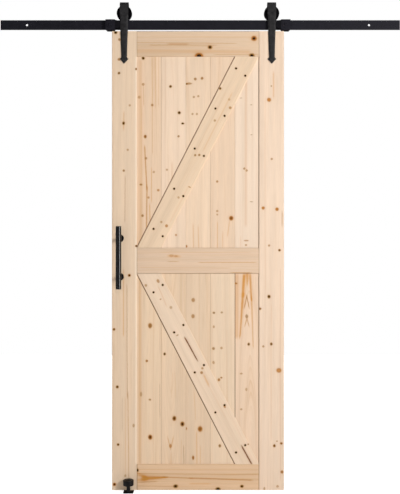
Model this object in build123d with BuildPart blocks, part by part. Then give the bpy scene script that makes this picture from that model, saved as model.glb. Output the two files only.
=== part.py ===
from build123d import *
import os

# A sliding barn door with its track, hangers, stops, handle and floor guide, in millimetres.
# x runs along the track, y points from the room to the wall and z is up. The door's middle
# is at x = 0, its front face at y = 0 and the floor at z = 0.

os.makedirs("parts", exist_ok=True)

# Door frame: two stiles, three rails
DOOR_WIDTH = 762.0
DOOR_HEIGHT = 2032.0
DOOR_THICKNESS = 36.0
FLOOR_GAP = 5.0
STILE_WIDTH = 110.0
TOP_RAIL_HEIGHT = 112.0
MIDDLE_RAIL_HEIGHT = 111.0
BOTTOM_RAIL_HEIGHT = 114.0
FRAME_EASE = 1.0

# Planks, housed in grooves round the inside of the frame
PLANK_COUNT = 5
PLANK_THICKNESS = 14.0
PLANK_RECESS = 5.0
PLANK_EASE = 1.2
HOUSING_DEPTH = 10.0
HOUSING_SLACK = 1.0
HOUSING_FIT = 0.15
TONGUE_THICKNESS = 5.0
TONGUE_DEPTH = 6.0
TONGUE_FIT = 0.2

# Braces, one from corner to corner of each half, and the screws through them
BRACE_END_WIDTH = 106.0
BRACE_FIT = 0.3
BRACE_ROWS = 5
BRACE_ROW_SHARE = 0.8424
BRACE_SHIFT_SHARE = 0.0565
BRACE_PAIR_SHARE = 0.3745
BRACE_PAIR_DROP_SHARE = 0.8
BRACE_SCREW_DIAMETER = 3.5
BRACE_SCREW_LENGTH = 16.0
BRACE_SCREW_HEAD_DIAMETER = 8.0
BRACE_SCREW_HEAD_HEIGHT = 2.0
BRACE_SCREW_SINK = 0.8
SCREW_FIT = 0.05

# Track: a flat bar on spacers, screwed to the wall
TRACK_HEIGHT = 42.5
TRACK_THICKNESS = 6.0
TRACK_EASE = 1.0
TRACK_SETBACK = 9.0
TRACK_RISE = 9.1
INNER_HOLE_SPACING = 760.0
OUTER_HOLE_SPACING = 1520.0
WALL_HOLE_DIAMETER = 10.5
WALL_HOLE_EASE = 0.8
TRACK_LEFT_MARGIN = 117.0
TRACK_RIGHT_MARGIN = 137.0
SPACER_LENGTH = 33.0
SPACER_DIAMETER = 24.0

# Hanger straps: a bevelled leg on the door, bent over the wheel to a short leg behind it
HANGER_INSET = 54.0
STRAP_THICKNESS = 6.0
STRAP_TOP_WIDTH = 38.0
STRAP_WAIST_WIDTH = 35.0
STRAP_DOOR_WIDTH = 32.0
STRAP_NECK_WIDTH = 25.0
STRAP_RISE = 49.4
STRAP_SHOULDER_RISE = 20.0
STRAP_WAIST_DROP = 10.0
STRAP_DROP = 144.4
ARROW_WIDTH = 38.0
ARROW_LENGTH = 21.0
ARROW_BARB_HEIGHT = 7.0
STRAP_BEVEL_WIDTH = 6.5
STRAP_BEVEL_DEPTH = 3.0
STRAP_REAR_DROP = 19.0
STRAP_REAR_CORNER = 16.0

# Strap screws: countersunk in front, nut and washer behind
STRAP_SCREW_DROP = 36.0
STRAP_SCREW_PITCH = 61.0
STRAP_SCREW_DIAMETER = 6.0
STRAP_SCREW_HEAD_DIAMETER = 11.4
STRAP_SCREW_TAIL = 8.0
STRAP_NUT_WIDTH = 10.0
STRAP_NUT_THICKNESS = 5.0
STRAP_WASHER_DIAMETER = 18.0
STRAP_WASHER_THICKNESS = 1.6
BOLT_FIT = 0.1

# Grooved wheels on bushes, and their axle bolts
GROOVE_DIAMETER = 59.0
FLANGE_DIAMETER = 67.0
WHEEL_WIDTH = 20.0
GROOVE_SIDE_PLAY = 0.8
GROOVE_DRAFT = 1.2
TREAD_GAP = 0.3
WHEEL_RIM_WIDTH = 5.5
WHEEL_HUB_DIAMETER = 28.0
WHEEL_FACE_RECESS = 2.0
WHEEL_EDGE = 0.8
BUSH_DIAMETER = 20.0
BUSH_FIT = 0.02
AXLE_DIAMETER = 12.0
AXLE_HEAD_DIAMETER = 20.0
AXLE_HEAD_SINK = 0.2
AXLE_RUNNING_FIT = 0.05
AXLE_TAIL = 2.5
AXLE_SOCKET_WIDTH = 6.0
AXLE_SOCKET_DEPTH = 3.0
AXLE_WASHER_DIAMETER = 24.0
AXLE_WASHER_THICKNESS = 1.8
WHEEL_END_PLAY = 0.2
AXLE_NUT_WIDTH = 18.0
AXLE_NUT_THICKNESS = 7.0

# End stops: clips hooked over the track, each with a clamp screw and a rubber bumper
STOP_WIDTH = 42.0
STOP_FACE_THICKNESS = 16.7
STOP_LIP_THICKNESS = 4.0
STOP_TRACK_FIT = 0.3
STOP_DOOR_CLEARANCE = 3.6
STOP_TOP_WALL = 3.7
STOP_TOP_FALL = 5.4
STOP_SPACER_CLEARANCE = 1.5
STOP_CORNER = 6.0
STOP_BOSS_DIAMETER = 34.0
STOP_BOSS_HEIGHT = 2.0
STOP_BOSS_EASE = 1.0
CLAMP_SCREW_DIAMETER = 8.0
CLAMP_HEAD_DIAMETER = 16.0
CLAMP_HEAD_HEIGHT = 3.0
CLAMP_HEAD_EASE = 1.2
CLAMP_SOCKET_WIDTH = 5.0
CLAMP_SOCKET_DEPTH = 2.0
BUMPER_LENGTH = 22.2
BUMPER_ROOT_HEIGHT = 38.0
BUMPER_TIP_HEIGHT = 29.0
BUMPER_ROOT_DEPTH = 15.0
BUMPER_TIP_DEPTH = 12.0
BUMPER_GAP = 0.3
BUMPER_STUD_DIAMETER = 8.0
BUMPER_STUD_LENGTH = 7.0

# Pull handle: a round bar on two posts with round roses
HANDLE_INSET = 35.4
HANDLE_RISE = 1029.5
HANDLE_LENGTH = 275.0
HANDLE_DIAMETER = 24.0
HANDLE_EASE = 1.0
HANDLE_PITCH = 170.0
HANDLE_REACH = 58.0
POST_DIAMETER = 14.0
POST_GRIP = 5.0
ROSE_DIAMETER = 35.0
ROSE_THICKNESS = 4.0
ROSE_EASE = 1.5
HANDLE_SCREW_DIAMETER = 6.0
HANDLE_SCREW_GRIP = 12.0
HANDLE_SCREW_HEAD_DIAMETER = 12.0
HANDLE_SCREW_HEAD_HEIGHT = 3.5

# Floor guide: a folded plate under the door, a roller in front and a pad behind
GUIDE_INSET = 75.0
GUIDE_PLATE_WIDTH = 45.0
GUIDE_PLATE_THICKNESS = 3.5
GUIDE_PLATE_MARGIN = 8.3
GUIDE_CORNER = 5.0
GUIDE_BEND_RADIUS = 3.0
GUIDE_UPSTAND_HEIGHT = 50.0
GUIDE_SIDE_GAP = 0.3
GUIDE_PAD_THICKNESS = 3.0
GUIDE_PAD_WIDTH = 36.0
GUIDE_PAD_HEIGHT = 28.0
GUIDE_PAD_TOP_MARGIN = 5.0
PAD_STUD_DIAMETER = 8.0
ROLLER_DIAMETER = 46.0
ROLLER_HEIGHT = 23.0
ROLLER_RISE = 34.4
ROLLER_EASE = 2.0
ROLLER_END_PLAY = 0.3
ROLLER_PIN_DIAMETER = 10.0
PILLAR_DIAMETER = 16.5
CAP_SCREW_DIAMETER = 6.0
CAP_SCREW_GRIP = 12.0
CAP_HEAD_DIAMETER = 28.0
CAP_HEAD_EDGE = 1.2
CAP_HEAD_HEIGHT = 4.0
FLOOR_HOLE_DIAMETER = 5.5
FLOOR_HOLE_SINK_DIAMETER = 10.0
FLOOR_HOLE_SPACING = 30.0

SIDES = (("left", -1), ("right", 1))


def facing(y, x=0.0):
    """The upright plane at depth y and place x, with its normal towards the room."""
    return Plane(origin=(x, y, 0), x_dir=(1, 0, 0), z_dir=(0, -1, 0))


# Door outline
door_bottom = FLOOR_GAP
door_top = door_bottom + DOOR_HEIGHT
door_edge = DOOR_WIDTH / 2
door_middle_depth = DOOR_THICKNESS / 2
opening_edge = door_edge - STILE_WIDTH
top_rail_bottom = door_top - TOP_RAIL_HEIGHT
middle_rail_bottom = door_bottom + (DOOR_HEIGHT - MIDDLE_RAIL_HEIGHT) / 2
middle_rail_top = middle_rail_bottom + MIDDLE_RAIL_HEIGHT
bottom_rail_top = door_bottom + BOTTOM_RAIL_HEIGHT

# Planks and their grooves
plank_middle_depth = PLANK_RECESS + PLANK_THICKNESS / 2
plank_pitch = 2 * opening_edge / PLANK_COUNT
housing_width = PLANK_THICKNESS + 2 * HOUSING_FIT
housed = HOUSING_DEPTH - HOUSING_SLACK

# Each half of the door, from the middle rail outwards: name, z at the middle rail, z at the far rail
HALVES = (
    ("upper", middle_rail_top, top_rail_bottom),
    ("lower", middle_rail_bottom, bottom_rail_top),
)

# Track
track_bottom = door_top + TRACK_RISE
track_top = track_bottom + TRACK_HEIGHT
track_middle = (track_bottom + track_top) / 2
track_front = TRACK_SETBACK
track_back = track_front + TRACK_THICKNESS
track_left = -OUTER_HOLE_SPACING / 2 - TRACK_LEFT_MARGIN
track_right = OUTER_HOLE_SPACING / 2 + TRACK_RIGHT_MARGIN
outer_wall_holes = [(sign * OUTER_HOLE_SPACING / 2, track_middle) for sign in (-1, 1)]
inner_wall_holes = [(sign * INNER_HOLE_SPACING / 2, track_middle) for sign in (-1, 1)]

# Hangers
hanger_x = door_edge - HANGER_INSET
axle_height = track_top + TREAD_GAP + GROOVE_DIAMETER / 2
wheel_front = (track_front + track_back - WHEEL_WIDTH) / 2
wheel_back = wheel_front + WHEEL_WIDTH
rear_washer_front = wheel_back + WHEEL_END_PLAY
rear_leg_front = rear_washer_front + AXLE_WASHER_THICKNESS
nut_front = rear_leg_front + STRAP_THICKNESS
axle_end = nut_front + AXLE_NUT_THICKNESS + AXLE_TAIL
strap_front = -STRAP_THICKNESS
strap_top = axle_height + STRAP_RISE
bend_radius = rear_leg_front / 2
bend_outer_radius = bend_radius + STRAP_THICKNESS
bend_height = strap_top - bend_outer_radius
shoulder_height = track_top + STRAP_SHOULDER_RISE
rear_leg_bottom = axle_height - STRAP_REAR_DROP
strap_screw_heights = (
    door_top - STRAP_SCREW_DROP,
    door_top - STRAP_SCREW_DROP - STRAP_SCREW_PITCH,
)

# Handle
handle_x = -(door_edge - HANDLE_INSET)
handle_height = door_bottom + HANDLE_RISE
post_heights = (handle_height - HANDLE_PITCH / 2, handle_height + HANDLE_PITCH / 2)
post_end = -(HANDLE_REACH - HANDLE_DIAMETER / 2 + POST_GRIP)


def brace_screw_points(near, far):
    """The (x, z) places of a brace's screws: pairs in rows along its middle line, in shares of a plank."""
    slope = (far - near) / (2 * opening_edge - BRACE_END_WIDTH)
    spread = BRACE_PAIR_SHARE * plank_pitch
    drop = BRACE_PAIR_DROP_SHARE * spread if far > near else -BRACE_PAIR_DROP_SHARE * spread
    points = []
    for row in range(BRACE_ROWS):
        along = (row - (BRACE_ROWS - 1) / 2) * BRACE_ROW_SHARE * plank_pitch
        for hand in (-1, 1):
            x = along + BRACE_SHIFT_SHARE * plank_pitch + hand * spread / 2
            z = (near + far) / 2 + slope * along - hand * drop / 2
            points.append((x, z))
    return points


# Stiles: full height, grooved along the inner edge for the planks and the rails' tenons
for side, sign in SIDES:
    strap_holes = [(sign * hanger_x, height) for height in strap_screw_heights]
    with BuildPart() as stile:
        with BuildSketch(Plane.XY.offset(door_bottom)) as section:
            with Locations((sign * (door_edge - STILE_WIDTH / 2), door_middle_depth)):
                Rectangle(STILE_WIDTH, DOOR_THICKNESS)
            chamfer(section.vertices(), FRAME_EASE)
            with Locations((sign * opening_edge, plank_middle_depth)):
                Rectangle(2 * HOUSING_DEPTH, housing_width, mode=Mode.SUBTRACT)
        extrude(amount=DOOR_HEIGHT)
        with BuildSketch(facing(0)):
            with Locations(*strap_holes):
                Circle(STRAP_SCREW_DIAMETER / 2 + BOLT_FIT)
        extrude(amount=-DOOR_THICKNESS, mode=Mode.SUBTRACT)
        if side == "left":
            with BuildSketch(facing(0, handle_x)):
                with Locations(*[(0, height) for height in post_heights]):
                    Circle(HANDLE_SCREW_DIAMETER / 2 + BOLT_FIT)
            extrude(amount=-DOOR_THICKNESS, mode=Mode.SUBTRACT)
    stile.part.label = f"{side}_stile"
    export_step(stile.part, f"parts/{side}_stile.step")

# Rails: between the stiles on stub tenons, grooved where they meet planks
RAILS = (
    ("top_rail", top_rail_bottom, TOP_RAIL_HEIGHT, (top_rail_bottom,)),
    ("middle_rail", middle_rail_bottom, MIDDLE_RAIL_HEIGHT, (middle_rail_bottom, middle_rail_top)),
    ("bottom_rail", door_bottom, BOTTOM_RAIL_HEIGHT, (bottom_rail_top,)),
)
for node, bottom, height, grooved_edges in RAILS:
    with BuildPart() as rail:
        with BuildSketch(Plane.YZ) as section:
            with Locations((door_middle_depth, bottom + height / 2)):
                Rectangle(DOOR_THICKNESS, height)
            chamfer(section.vertices(), FRAME_EASE)
        extrude(amount=opening_edge, both=True)
        with BuildSketch(Plane.YZ):
            with Locations((plank_middle_depth, bottom + height / 2)):
                Rectangle(PLANK_THICKNESS, height)
        extrude(amount=opening_edge + housed, both=True)
        with BuildSketch(Plane.YZ):
            with Locations(*[(plank_middle_depth, edge) for edge in grooved_edges]):
                Rectangle(housing_width, 2 * HOUSING_DEPTH)
        extrude(amount=opening_edge + housed, both=True, mode=Mode.SUBTRACT)
    rail.part.label = node
    export_step(rail.part, f"parts/{node}.step")

# Planks: tongued and grooved boards, the outer ones housed in the stiles
for half, near, far in HALVES:
    screw_points = brace_screw_points(near, far)
    plank_bottom = min(near, far) - housed
    plank_length = abs(far - near) + 2 * housed
    for number in range(1, PLANK_COUNT + 1):
        left_seam = -opening_edge + (number - 1) * plank_pitch
        left = left_seam - housed if number == 1 else left_seam
        right_seam = left_seam + plank_pitch
        right = right_seam + housed if number == PLANK_COUNT else right_seam
        reach = TONGUE_DEPTH + BRACE_SCREW_DIAMETER
        pilots = [(x, z) for x, z in screw_points if left - reach < x < right + reach]
        with BuildPart() as plank:
            with BuildSketch(Plane.XY.offset(plank_bottom)) as section:
                with Locations(((left + right) / 2, plank_middle_depth)):
                    Rectangle(right - left, PLANK_THICKNESS)
                chamfer(section.vertices(), PLANK_EASE)
                if number < PLANK_COUNT:
                    with Locations((right, plank_middle_depth)):
                        Rectangle(2 * TONGUE_DEPTH, TONGUE_THICKNESS)
                if number > 1:
                    with Locations((left, plank_middle_depth)):
                        Rectangle(
                            2 * (TONGUE_DEPTH + TONGUE_FIT),
                            TONGUE_THICKNESS + 2 * TONGUE_FIT,
                            mode=Mode.SUBTRACT,
                        )
            extrude(amount=plank_length)
            if pilots:
                with BuildSketch(facing(0)):
                    with Locations(*pilots):
                        Circle(BRACE_SCREW_DIAMETER / 2 + SCREW_FIT)
                extrude(amount=-(BRACE_SCREW_SINK + BRACE_SCREW_LENGTH), mode=Mode.SUBTRACT)
        plank.part.label = f"{half}_plank_{number}"
        export_step(plank.part, f"parts/{half}_plank_{number}.step")

# Braces: parallelograms flush with the frame's face, and their sunk screws
for half, near, far in HALVES:
    screw_points = brace_screw_points(near, far)
    inset = BRACE_FIT if far > near else -BRACE_FIT
    left = -opening_edge + BRACE_FIT
    right = opening_edge - BRACE_FIT
    with BuildPart(facing(0)) as brace:
        with BuildSketch(facing(PLANK_RECESS)):
            with BuildLine():
                Polyline(
                    (left, near + inset),
                    (left + BRACE_END_WIDTH, near + inset),
                    (right, far - inset),
                    (right - BRACE_END_WIDTH, far - inset),
                    close=True,
                )
            make_face()
        extrude(amount=PLANK_RECESS)
        front_edges = brace.faces().sort_by(Axis.Y)[0].edges()
        chamfer(front_edges.sort_by(SortBy.LENGTH)[-2:], PLANK_EASE)
        with Locations(*screw_points):
            CounterBoreHole(
                radius=BRACE_SCREW_DIAMETER / 2 + SCREW_FIT,
                counter_bore_radius=BRACE_SCREW_HEAD_DIAMETER / 2 + BOLT_FIT,
                counter_bore_depth=BRACE_SCREW_SINK + BRACE_SCREW_HEAD_HEIGHT,
                depth=PLANK_RECESS,
            )
    brace.part.label = f"{half}_brace"
    export_step(brace.part, f"parts/{half}_brace.step")

    with BuildPart() as screws:
        with BuildSketch(facing(BRACE_SCREW_SINK)):
            with Locations(*screw_points):
                Circle(BRACE_SCREW_HEAD_DIAMETER / 2)
        extrude(amount=-BRACE_SCREW_HEAD_HEIGHT)
        with BuildSketch(facing(BRACE_SCREW_SINK)):
            with Locations(*screw_points):
                Circle(BRACE_SCREW_DIAMETER / 2)
        extrude(amount=-BRACE_SCREW_LENGTH)
    screws.part.label = f"{half}_brace_screws"
    export_step(screws.part, f"parts/{half}_brace_screws.step")

# Track bar, with its wall holes
with BuildPart() as track_rail:
    with BuildSketch(Plane.YZ.offset(track_left)) as section:
        with Locations(((track_front + track_back) / 2, track_middle)):
            Rectangle(TRACK_THICKNESS, TRACK_HEIGHT)
        chamfer(section.vertices(), TRACK_EASE)
    extrude(amount=track_right - track_left)
    with BuildSketch(facing(track_front)):
        with Locations(*outer_wall_holes, *inner_wall_holes):
            Circle(WALL_HOLE_DIAMETER / 2)
    extrude(amount=-TRACK_THICKNESS, mode=Mode.SUBTRACT)
    hole_rims = track_rail.edges().filter_by(GeomType.CIRCLE).group_by(Axis.Y)[0]
    chamfer(hole_rims, WALL_HOLE_EASE)
track_rail.part.label = "track_rail"
export_step(track_rail.part, "parts/track_rail.step")

# Spacers that hold the track off the wall, behind its inner holes
with BuildPart() as track_spacers:
    with BuildSketch(facing(track_back)):
        with Locations(*inner_wall_holes):
            Circle(SPACER_DIAMETER / 2)
            Circle(WALL_HOLE_DIAMETER / 2, mode=Mode.SUBTRACT)
    extrude(amount=-SPACER_LENGTH)
track_spacers.part.label = "track_spacers"
export_step(track_spacers.part, "parts/track_spacers.step")

# Right half of a hanger strap's bevelled leg, from the middle of its shoulder to the arrow's tip
strap_outline = (
    (0, shoulder_height),
    (STRAP_TOP_WIDTH / 2, shoulder_height),
    (STRAP_WAIST_WIDTH / 2, track_top),
    (STRAP_WAIST_WIDTH / 2, track_bottom),
    (STRAP_DOOR_WIDTH / 2, track_bottom - STRAP_WAIST_DROP),
    (STRAP_NECK_WIDTH / 2, door_top - STRAP_DROP + ARROW_LENGTH + ARROW_BARB_HEIGHT),
    (ARROW_WIDTH / 2, door_top - STRAP_DROP + ARROW_LENGTH),
    (0, door_top - STRAP_DROP),
)

# Wheel section from the axle outwards, as (depth, radius): hub, web, rim, flange and groove
groove_front = track_front - GROOVE_SIDE_PLAY
groove_back = track_back + GROOVE_SIDE_PLAY
rim_inner = FLANGE_DIAMETER / 2 - WHEEL_RIM_WIDTH
wheel_half_section = (
    (wheel_front, BUSH_DIAMETER / 2 + BUSH_FIT),
    (wheel_front, WHEEL_HUB_DIAMETER / 2),
    (wheel_front + WHEEL_FACE_RECESS, WHEEL_HUB_DIAMETER / 2 + WHEEL_EDGE),
    (wheel_front + WHEEL_FACE_RECESS, rim_inner),
    (wheel_front, rim_inner + WHEEL_EDGE),
    (wheel_front, FLANGE_DIAMETER / 2 - WHEEL_EDGE),
    (wheel_front + WHEEL_EDGE, FLANGE_DIAMETER / 2),
    (groove_front - GROOVE_DRAFT, FLANGE_DIAMETER / 2),
    (groove_front, GROOVE_DIAMETER / 2),
    (groove_back, GROOVE_DIAMETER / 2),
    (groove_back + GROOVE_DRAFT, FLANGE_DIAMETER / 2),
    (wheel_back - WHEEL_EDGE, FLANGE_DIAMETER / 2),
    (wheel_back, FLANGE_DIAMETER / 2 - WHEEL_EDGE),
    (wheel_back, rim_inner + WHEEL_EDGE),
    (wheel_back - WHEEL_FACE_RECESS, rim_inner),
    (wheel_back - WHEEL_FACE_RECESS, WHEEL_HUB_DIAMETER / 2 + WHEEL_EDGE),
    (wheel_back, WHEEL_HUB_DIAMETER / 2),
    (wheel_back, BUSH_DIAMETER / 2 + BUSH_FIT),
)

# Axle bolt section: a countersunk head flush with the strap's front leg, then a plain shank
axle_head_radius = AXLE_HEAD_DIAMETER / 2 - AXLE_RUNNING_FIT - AXLE_HEAD_SINK
axle_head_front = strap_front + AXLE_HEAD_SINK
axle_section = (
    (axle_head_front, 0),
    (axle_head_front, axle_head_radius),
    (axle_head_front + axle_head_radius - AXLE_DIAMETER / 2, AXLE_DIAMETER / 2),
    (axle_end, AXLE_DIAMETER / 2),
    (axle_end, 0),
)
axle_bore = AXLE_DIAMETER / 2 + AXLE_RUNNING_FIT

for side, sign in SIDES:
    x = sign * hanger_x
    axle_line = Axis((x, 0, axle_height), (0, 1, 0))

    # Strap: one bar, bevelled to its arrow end, and bent plain over the wheel
    with BuildPart(facing(strap_front, x)) as strap:
        with BuildSketch(facing(0, x)):
            with BuildLine():
                Polyline(*strap_outline)
                mirror(about=Plane.YZ)
            make_face()
        extrude(amount=STRAP_THICKNESS)
        front_face = strap.faces().sort_by(Axis.Y)[0]
        chamfer(
            front_face.edges().sort_by(Axis.Z)[:-1],
            length=STRAP_BEVEL_WIDTH,
            length2=STRAP_BEVEL_DEPTH,
            reference=front_face,
        )
        with BuildSketch(Plane.YZ.offset(x)):
            with BuildLine():
                Polyline(
                    (-STRAP_THICKNESS, bend_height),
                    (-STRAP_THICKNESS, shoulder_height),
                    (0, shoulder_height),
                    (0, bend_height),
                )
                ThreePointArc(
                    (0, bend_height),
                    (bend_radius, bend_height + bend_radius),
                    (rear_leg_front, bend_height),
                )
                Polyline(
                    (rear_leg_front, bend_height),
                    (rear_leg_front, rear_leg_bottom),
                    (nut_front, rear_leg_bottom),
                    (nut_front, bend_height),
                )
                ThreePointArc(
                    (nut_front, bend_height),
                    (bend_radius, strap_top),
                    (-STRAP_THICKNESS, bend_height),
                )
            make_face()
        extrude(amount=STRAP_TOP_WIDTH / 2, both=True)
        rear_corners = strap.edges().filter_by(Axis.Y).filter_by_position(
            Axis.Z, rear_leg_bottom - BOLT_FIT, rear_leg_bottom + BOLT_FIT
        )
        fillet(rear_corners, STRAP_REAR_CORNER)
        with BuildSketch(facing(nut_front, x)):
            with Locations((0, axle_height)):
                Circle(axle_bore)
        extrude(amount=STRAP_THICKNESS, mode=Mode.SUBTRACT)
        with Locations((0, axle_height)):
            CounterSinkHole(
                radius=axle_bore,
                counter_sink_radius=AXLE_HEAD_DIAMETER / 2,
                depth=STRAP_THICKNESS,
                counter_sink_angle=90,
            )
        with Locations(*[(0, height) for height in strap_screw_heights]):
            CounterSinkHole(
                radius=STRAP_SCREW_DIAMETER / 2 + BOLT_FIT,
                counter_sink_radius=STRAP_SCREW_HEAD_DIAMETER / 2,
                depth=STRAP_THICKNESS,
                counter_sink_angle=90,
            )
    strap.part.label = f"{side}_hanger_strap"
    export_step(strap.part, f"parts/{side}_hanger_strap.step")

    # Grooved wheel
    with BuildPart() as wheel:
        with BuildSketch(Plane.YZ.offset(x)):
            with BuildLine():
                Polyline(*[(y, axle_height + r) for y, r in wheel_half_section], close=True)
            make_face()
        revolve(axis=axle_line)
    wheel.part.label = f"{side}_wheel"
    export_step(wheel.part, f"parts/{side}_wheel.step")

    # Bush pressed in the wheel
    with BuildPart() as bush:
        with BuildSketch(facing(wheel_front, x)):
            with Locations((0, axle_height)):
                Circle(BUSH_DIAMETER / 2)
                Circle(axle_bore, mode=Mode.SUBTRACT)
        extrude(amount=-WHEEL_WIDTH)
    bush.part.label = f"{side}_wheel_bush"
    export_step(bush.part, f"parts/{side}_wheel_bush.step")

    # Axle bolt
    with BuildPart() as axle:
        with BuildSketch(Plane.YZ.offset(x)):
            with BuildLine():
                Polyline(*[(y, axle_height + r) for y, r in axle_section], close=True)
            make_face()
        revolve(axis=axle_line)
        with BuildSketch(facing(axle_head_front, x)):
            with Locations((0, axle_height)):
                RegularPolygon(AXLE_SOCKET_WIDTH / 2, 6, major_radius=False)
        extrude(amount=-AXLE_SOCKET_DEPTH, mode=Mode.SUBTRACT)
    axle.part.label = f"{side}_axle_bolt"
    export_step(axle.part, f"parts/{side}_axle_bolt.step")

    # Washers between the wheel and the strap's two legs
    with BuildPart() as washers:
        with BuildSketch(facing(0, x)):
            with Locations((0, axle_height)):
                Circle(AXLE_WASHER_DIAMETER / 2)
                Circle(axle_bore, mode=Mode.SUBTRACT)
        extrude(amount=-(wheel_front - WHEEL_END_PLAY))
        with BuildSketch(facing(rear_washer_front, x)):
            with Locations((0, axle_height)):
                Circle(AXLE_WASHER_DIAMETER / 2)
                Circle(axle_bore, mode=Mode.SUBTRACT)
        extrude(amount=-AXLE_WASHER_THICKNESS)
    washers.part.label = f"{side}_axle_washers"
    export_step(washers.part, f"parts/{side}_axle_washers.step")

    # Nut on the axle bolt's tail
    with BuildPart() as nut:
        with BuildSketch(facing(nut_front, x)):
            with Locations((0, axle_height)):
                RegularPolygon(AXLE_NUT_WIDTH / 2, 6, major_radius=False)
                Circle(axle_bore, mode=Mode.SUBTRACT)
        extrude(amount=-AXLE_NUT_THICKNESS)
    nut.part.label = f"{side}_axle_nut"
    export_step(nut.part, f"parts/{side}_axle_nut.step")

# Strap screws, two in each strap, with their washers and nuts on the door's back
strap_screw_points = [
    (sign * hanger_x, height) for side, sign in SIDES for height in strap_screw_heights
]
strap_screw_radius = STRAP_SCREW_DIAMETER / 2
strap_head_radius = STRAP_SCREW_HEAD_DIAMETER / 2 - BOLT_FIT
with BuildPart() as strap_screws:
    with BuildSketch(facing(strap_front)):
        with Locations(*strap_screw_points):
            Circle(strap_head_radius)
    extrude(amount=-(strap_head_radius - strap_screw_radius), taper=45)
    with BuildSketch(facing(strap_front)):
        with Locations(*strap_screw_points):
            Circle(strap_screw_radius)
    extrude(amount=-(STRAP_THICKNESS + DOOR_THICKNESS + STRAP_SCREW_TAIL))
strap_screws.part.label = "strap_screws"
export_step(strap_screws.part, "parts/strap_screws.step")

with BuildPart() as strap_washers:
    with BuildSketch(facing(DOOR_THICKNESS)):
        with Locations(*strap_screw_points):
            Circle(STRAP_WASHER_DIAMETER / 2)
            Circle(strap_screw_radius + BOLT_FIT, mode=Mode.SUBTRACT)
    extrude(amount=-STRAP_WASHER_THICKNESS)
strap_washers.part.label = "strap_washers"
export_step(strap_washers.part, "parts/strap_washers.step")

with BuildPart() as strap_nuts:
    with BuildSketch(facing(DOOR_THICKNESS + STRAP_WASHER_THICKNESS)):
        with Locations(*strap_screw_points):
            RegularPolygon(STRAP_NUT_WIDTH / 2, 6, major_radius=False)
            Circle(strap_screw_radius + SCREW_FIT, mode=Mode.SUBTRACT)
    extrude(amount=-STRAP_NUT_THICKNESS)
strap_nuts.part.label = "strap_nuts"
export_step(strap_nuts.part, "parts/strap_nuts.step")

# End stops
stop_bottom = door_top + STOP_DOOR_CLEARANCE
stop_top = track_top + STOP_TRACK_FIT + STOP_TOP_WALL
stop_middle = (stop_bottom + stop_top) / 2
stop_front = track_front - STOP_TRACK_FIT - STOP_FACE_THICKNESS
stop_back = track_back + STOP_TRACK_FIT + STOP_LIP_THICKNESS
stop_mouth = SPACER_DIAMETER + 2 * STOP_SPACER_CLEARANCE
bumper_tip = hanger_x + STRAP_WAIST_WIDTH / 2 + BUMPER_GAP
bumper_root = bumper_tip + BUMPER_LENGTH
bumper_depth = stop_front + STOP_FACE_THICKNESS / 2
stop_x = bumper_root + STOP_WIDTH / 2
boss_front = stop_front - STOP_BOSS_HEIGHT
clamp_end = track_front - STOP_TRACK_FIT

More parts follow.
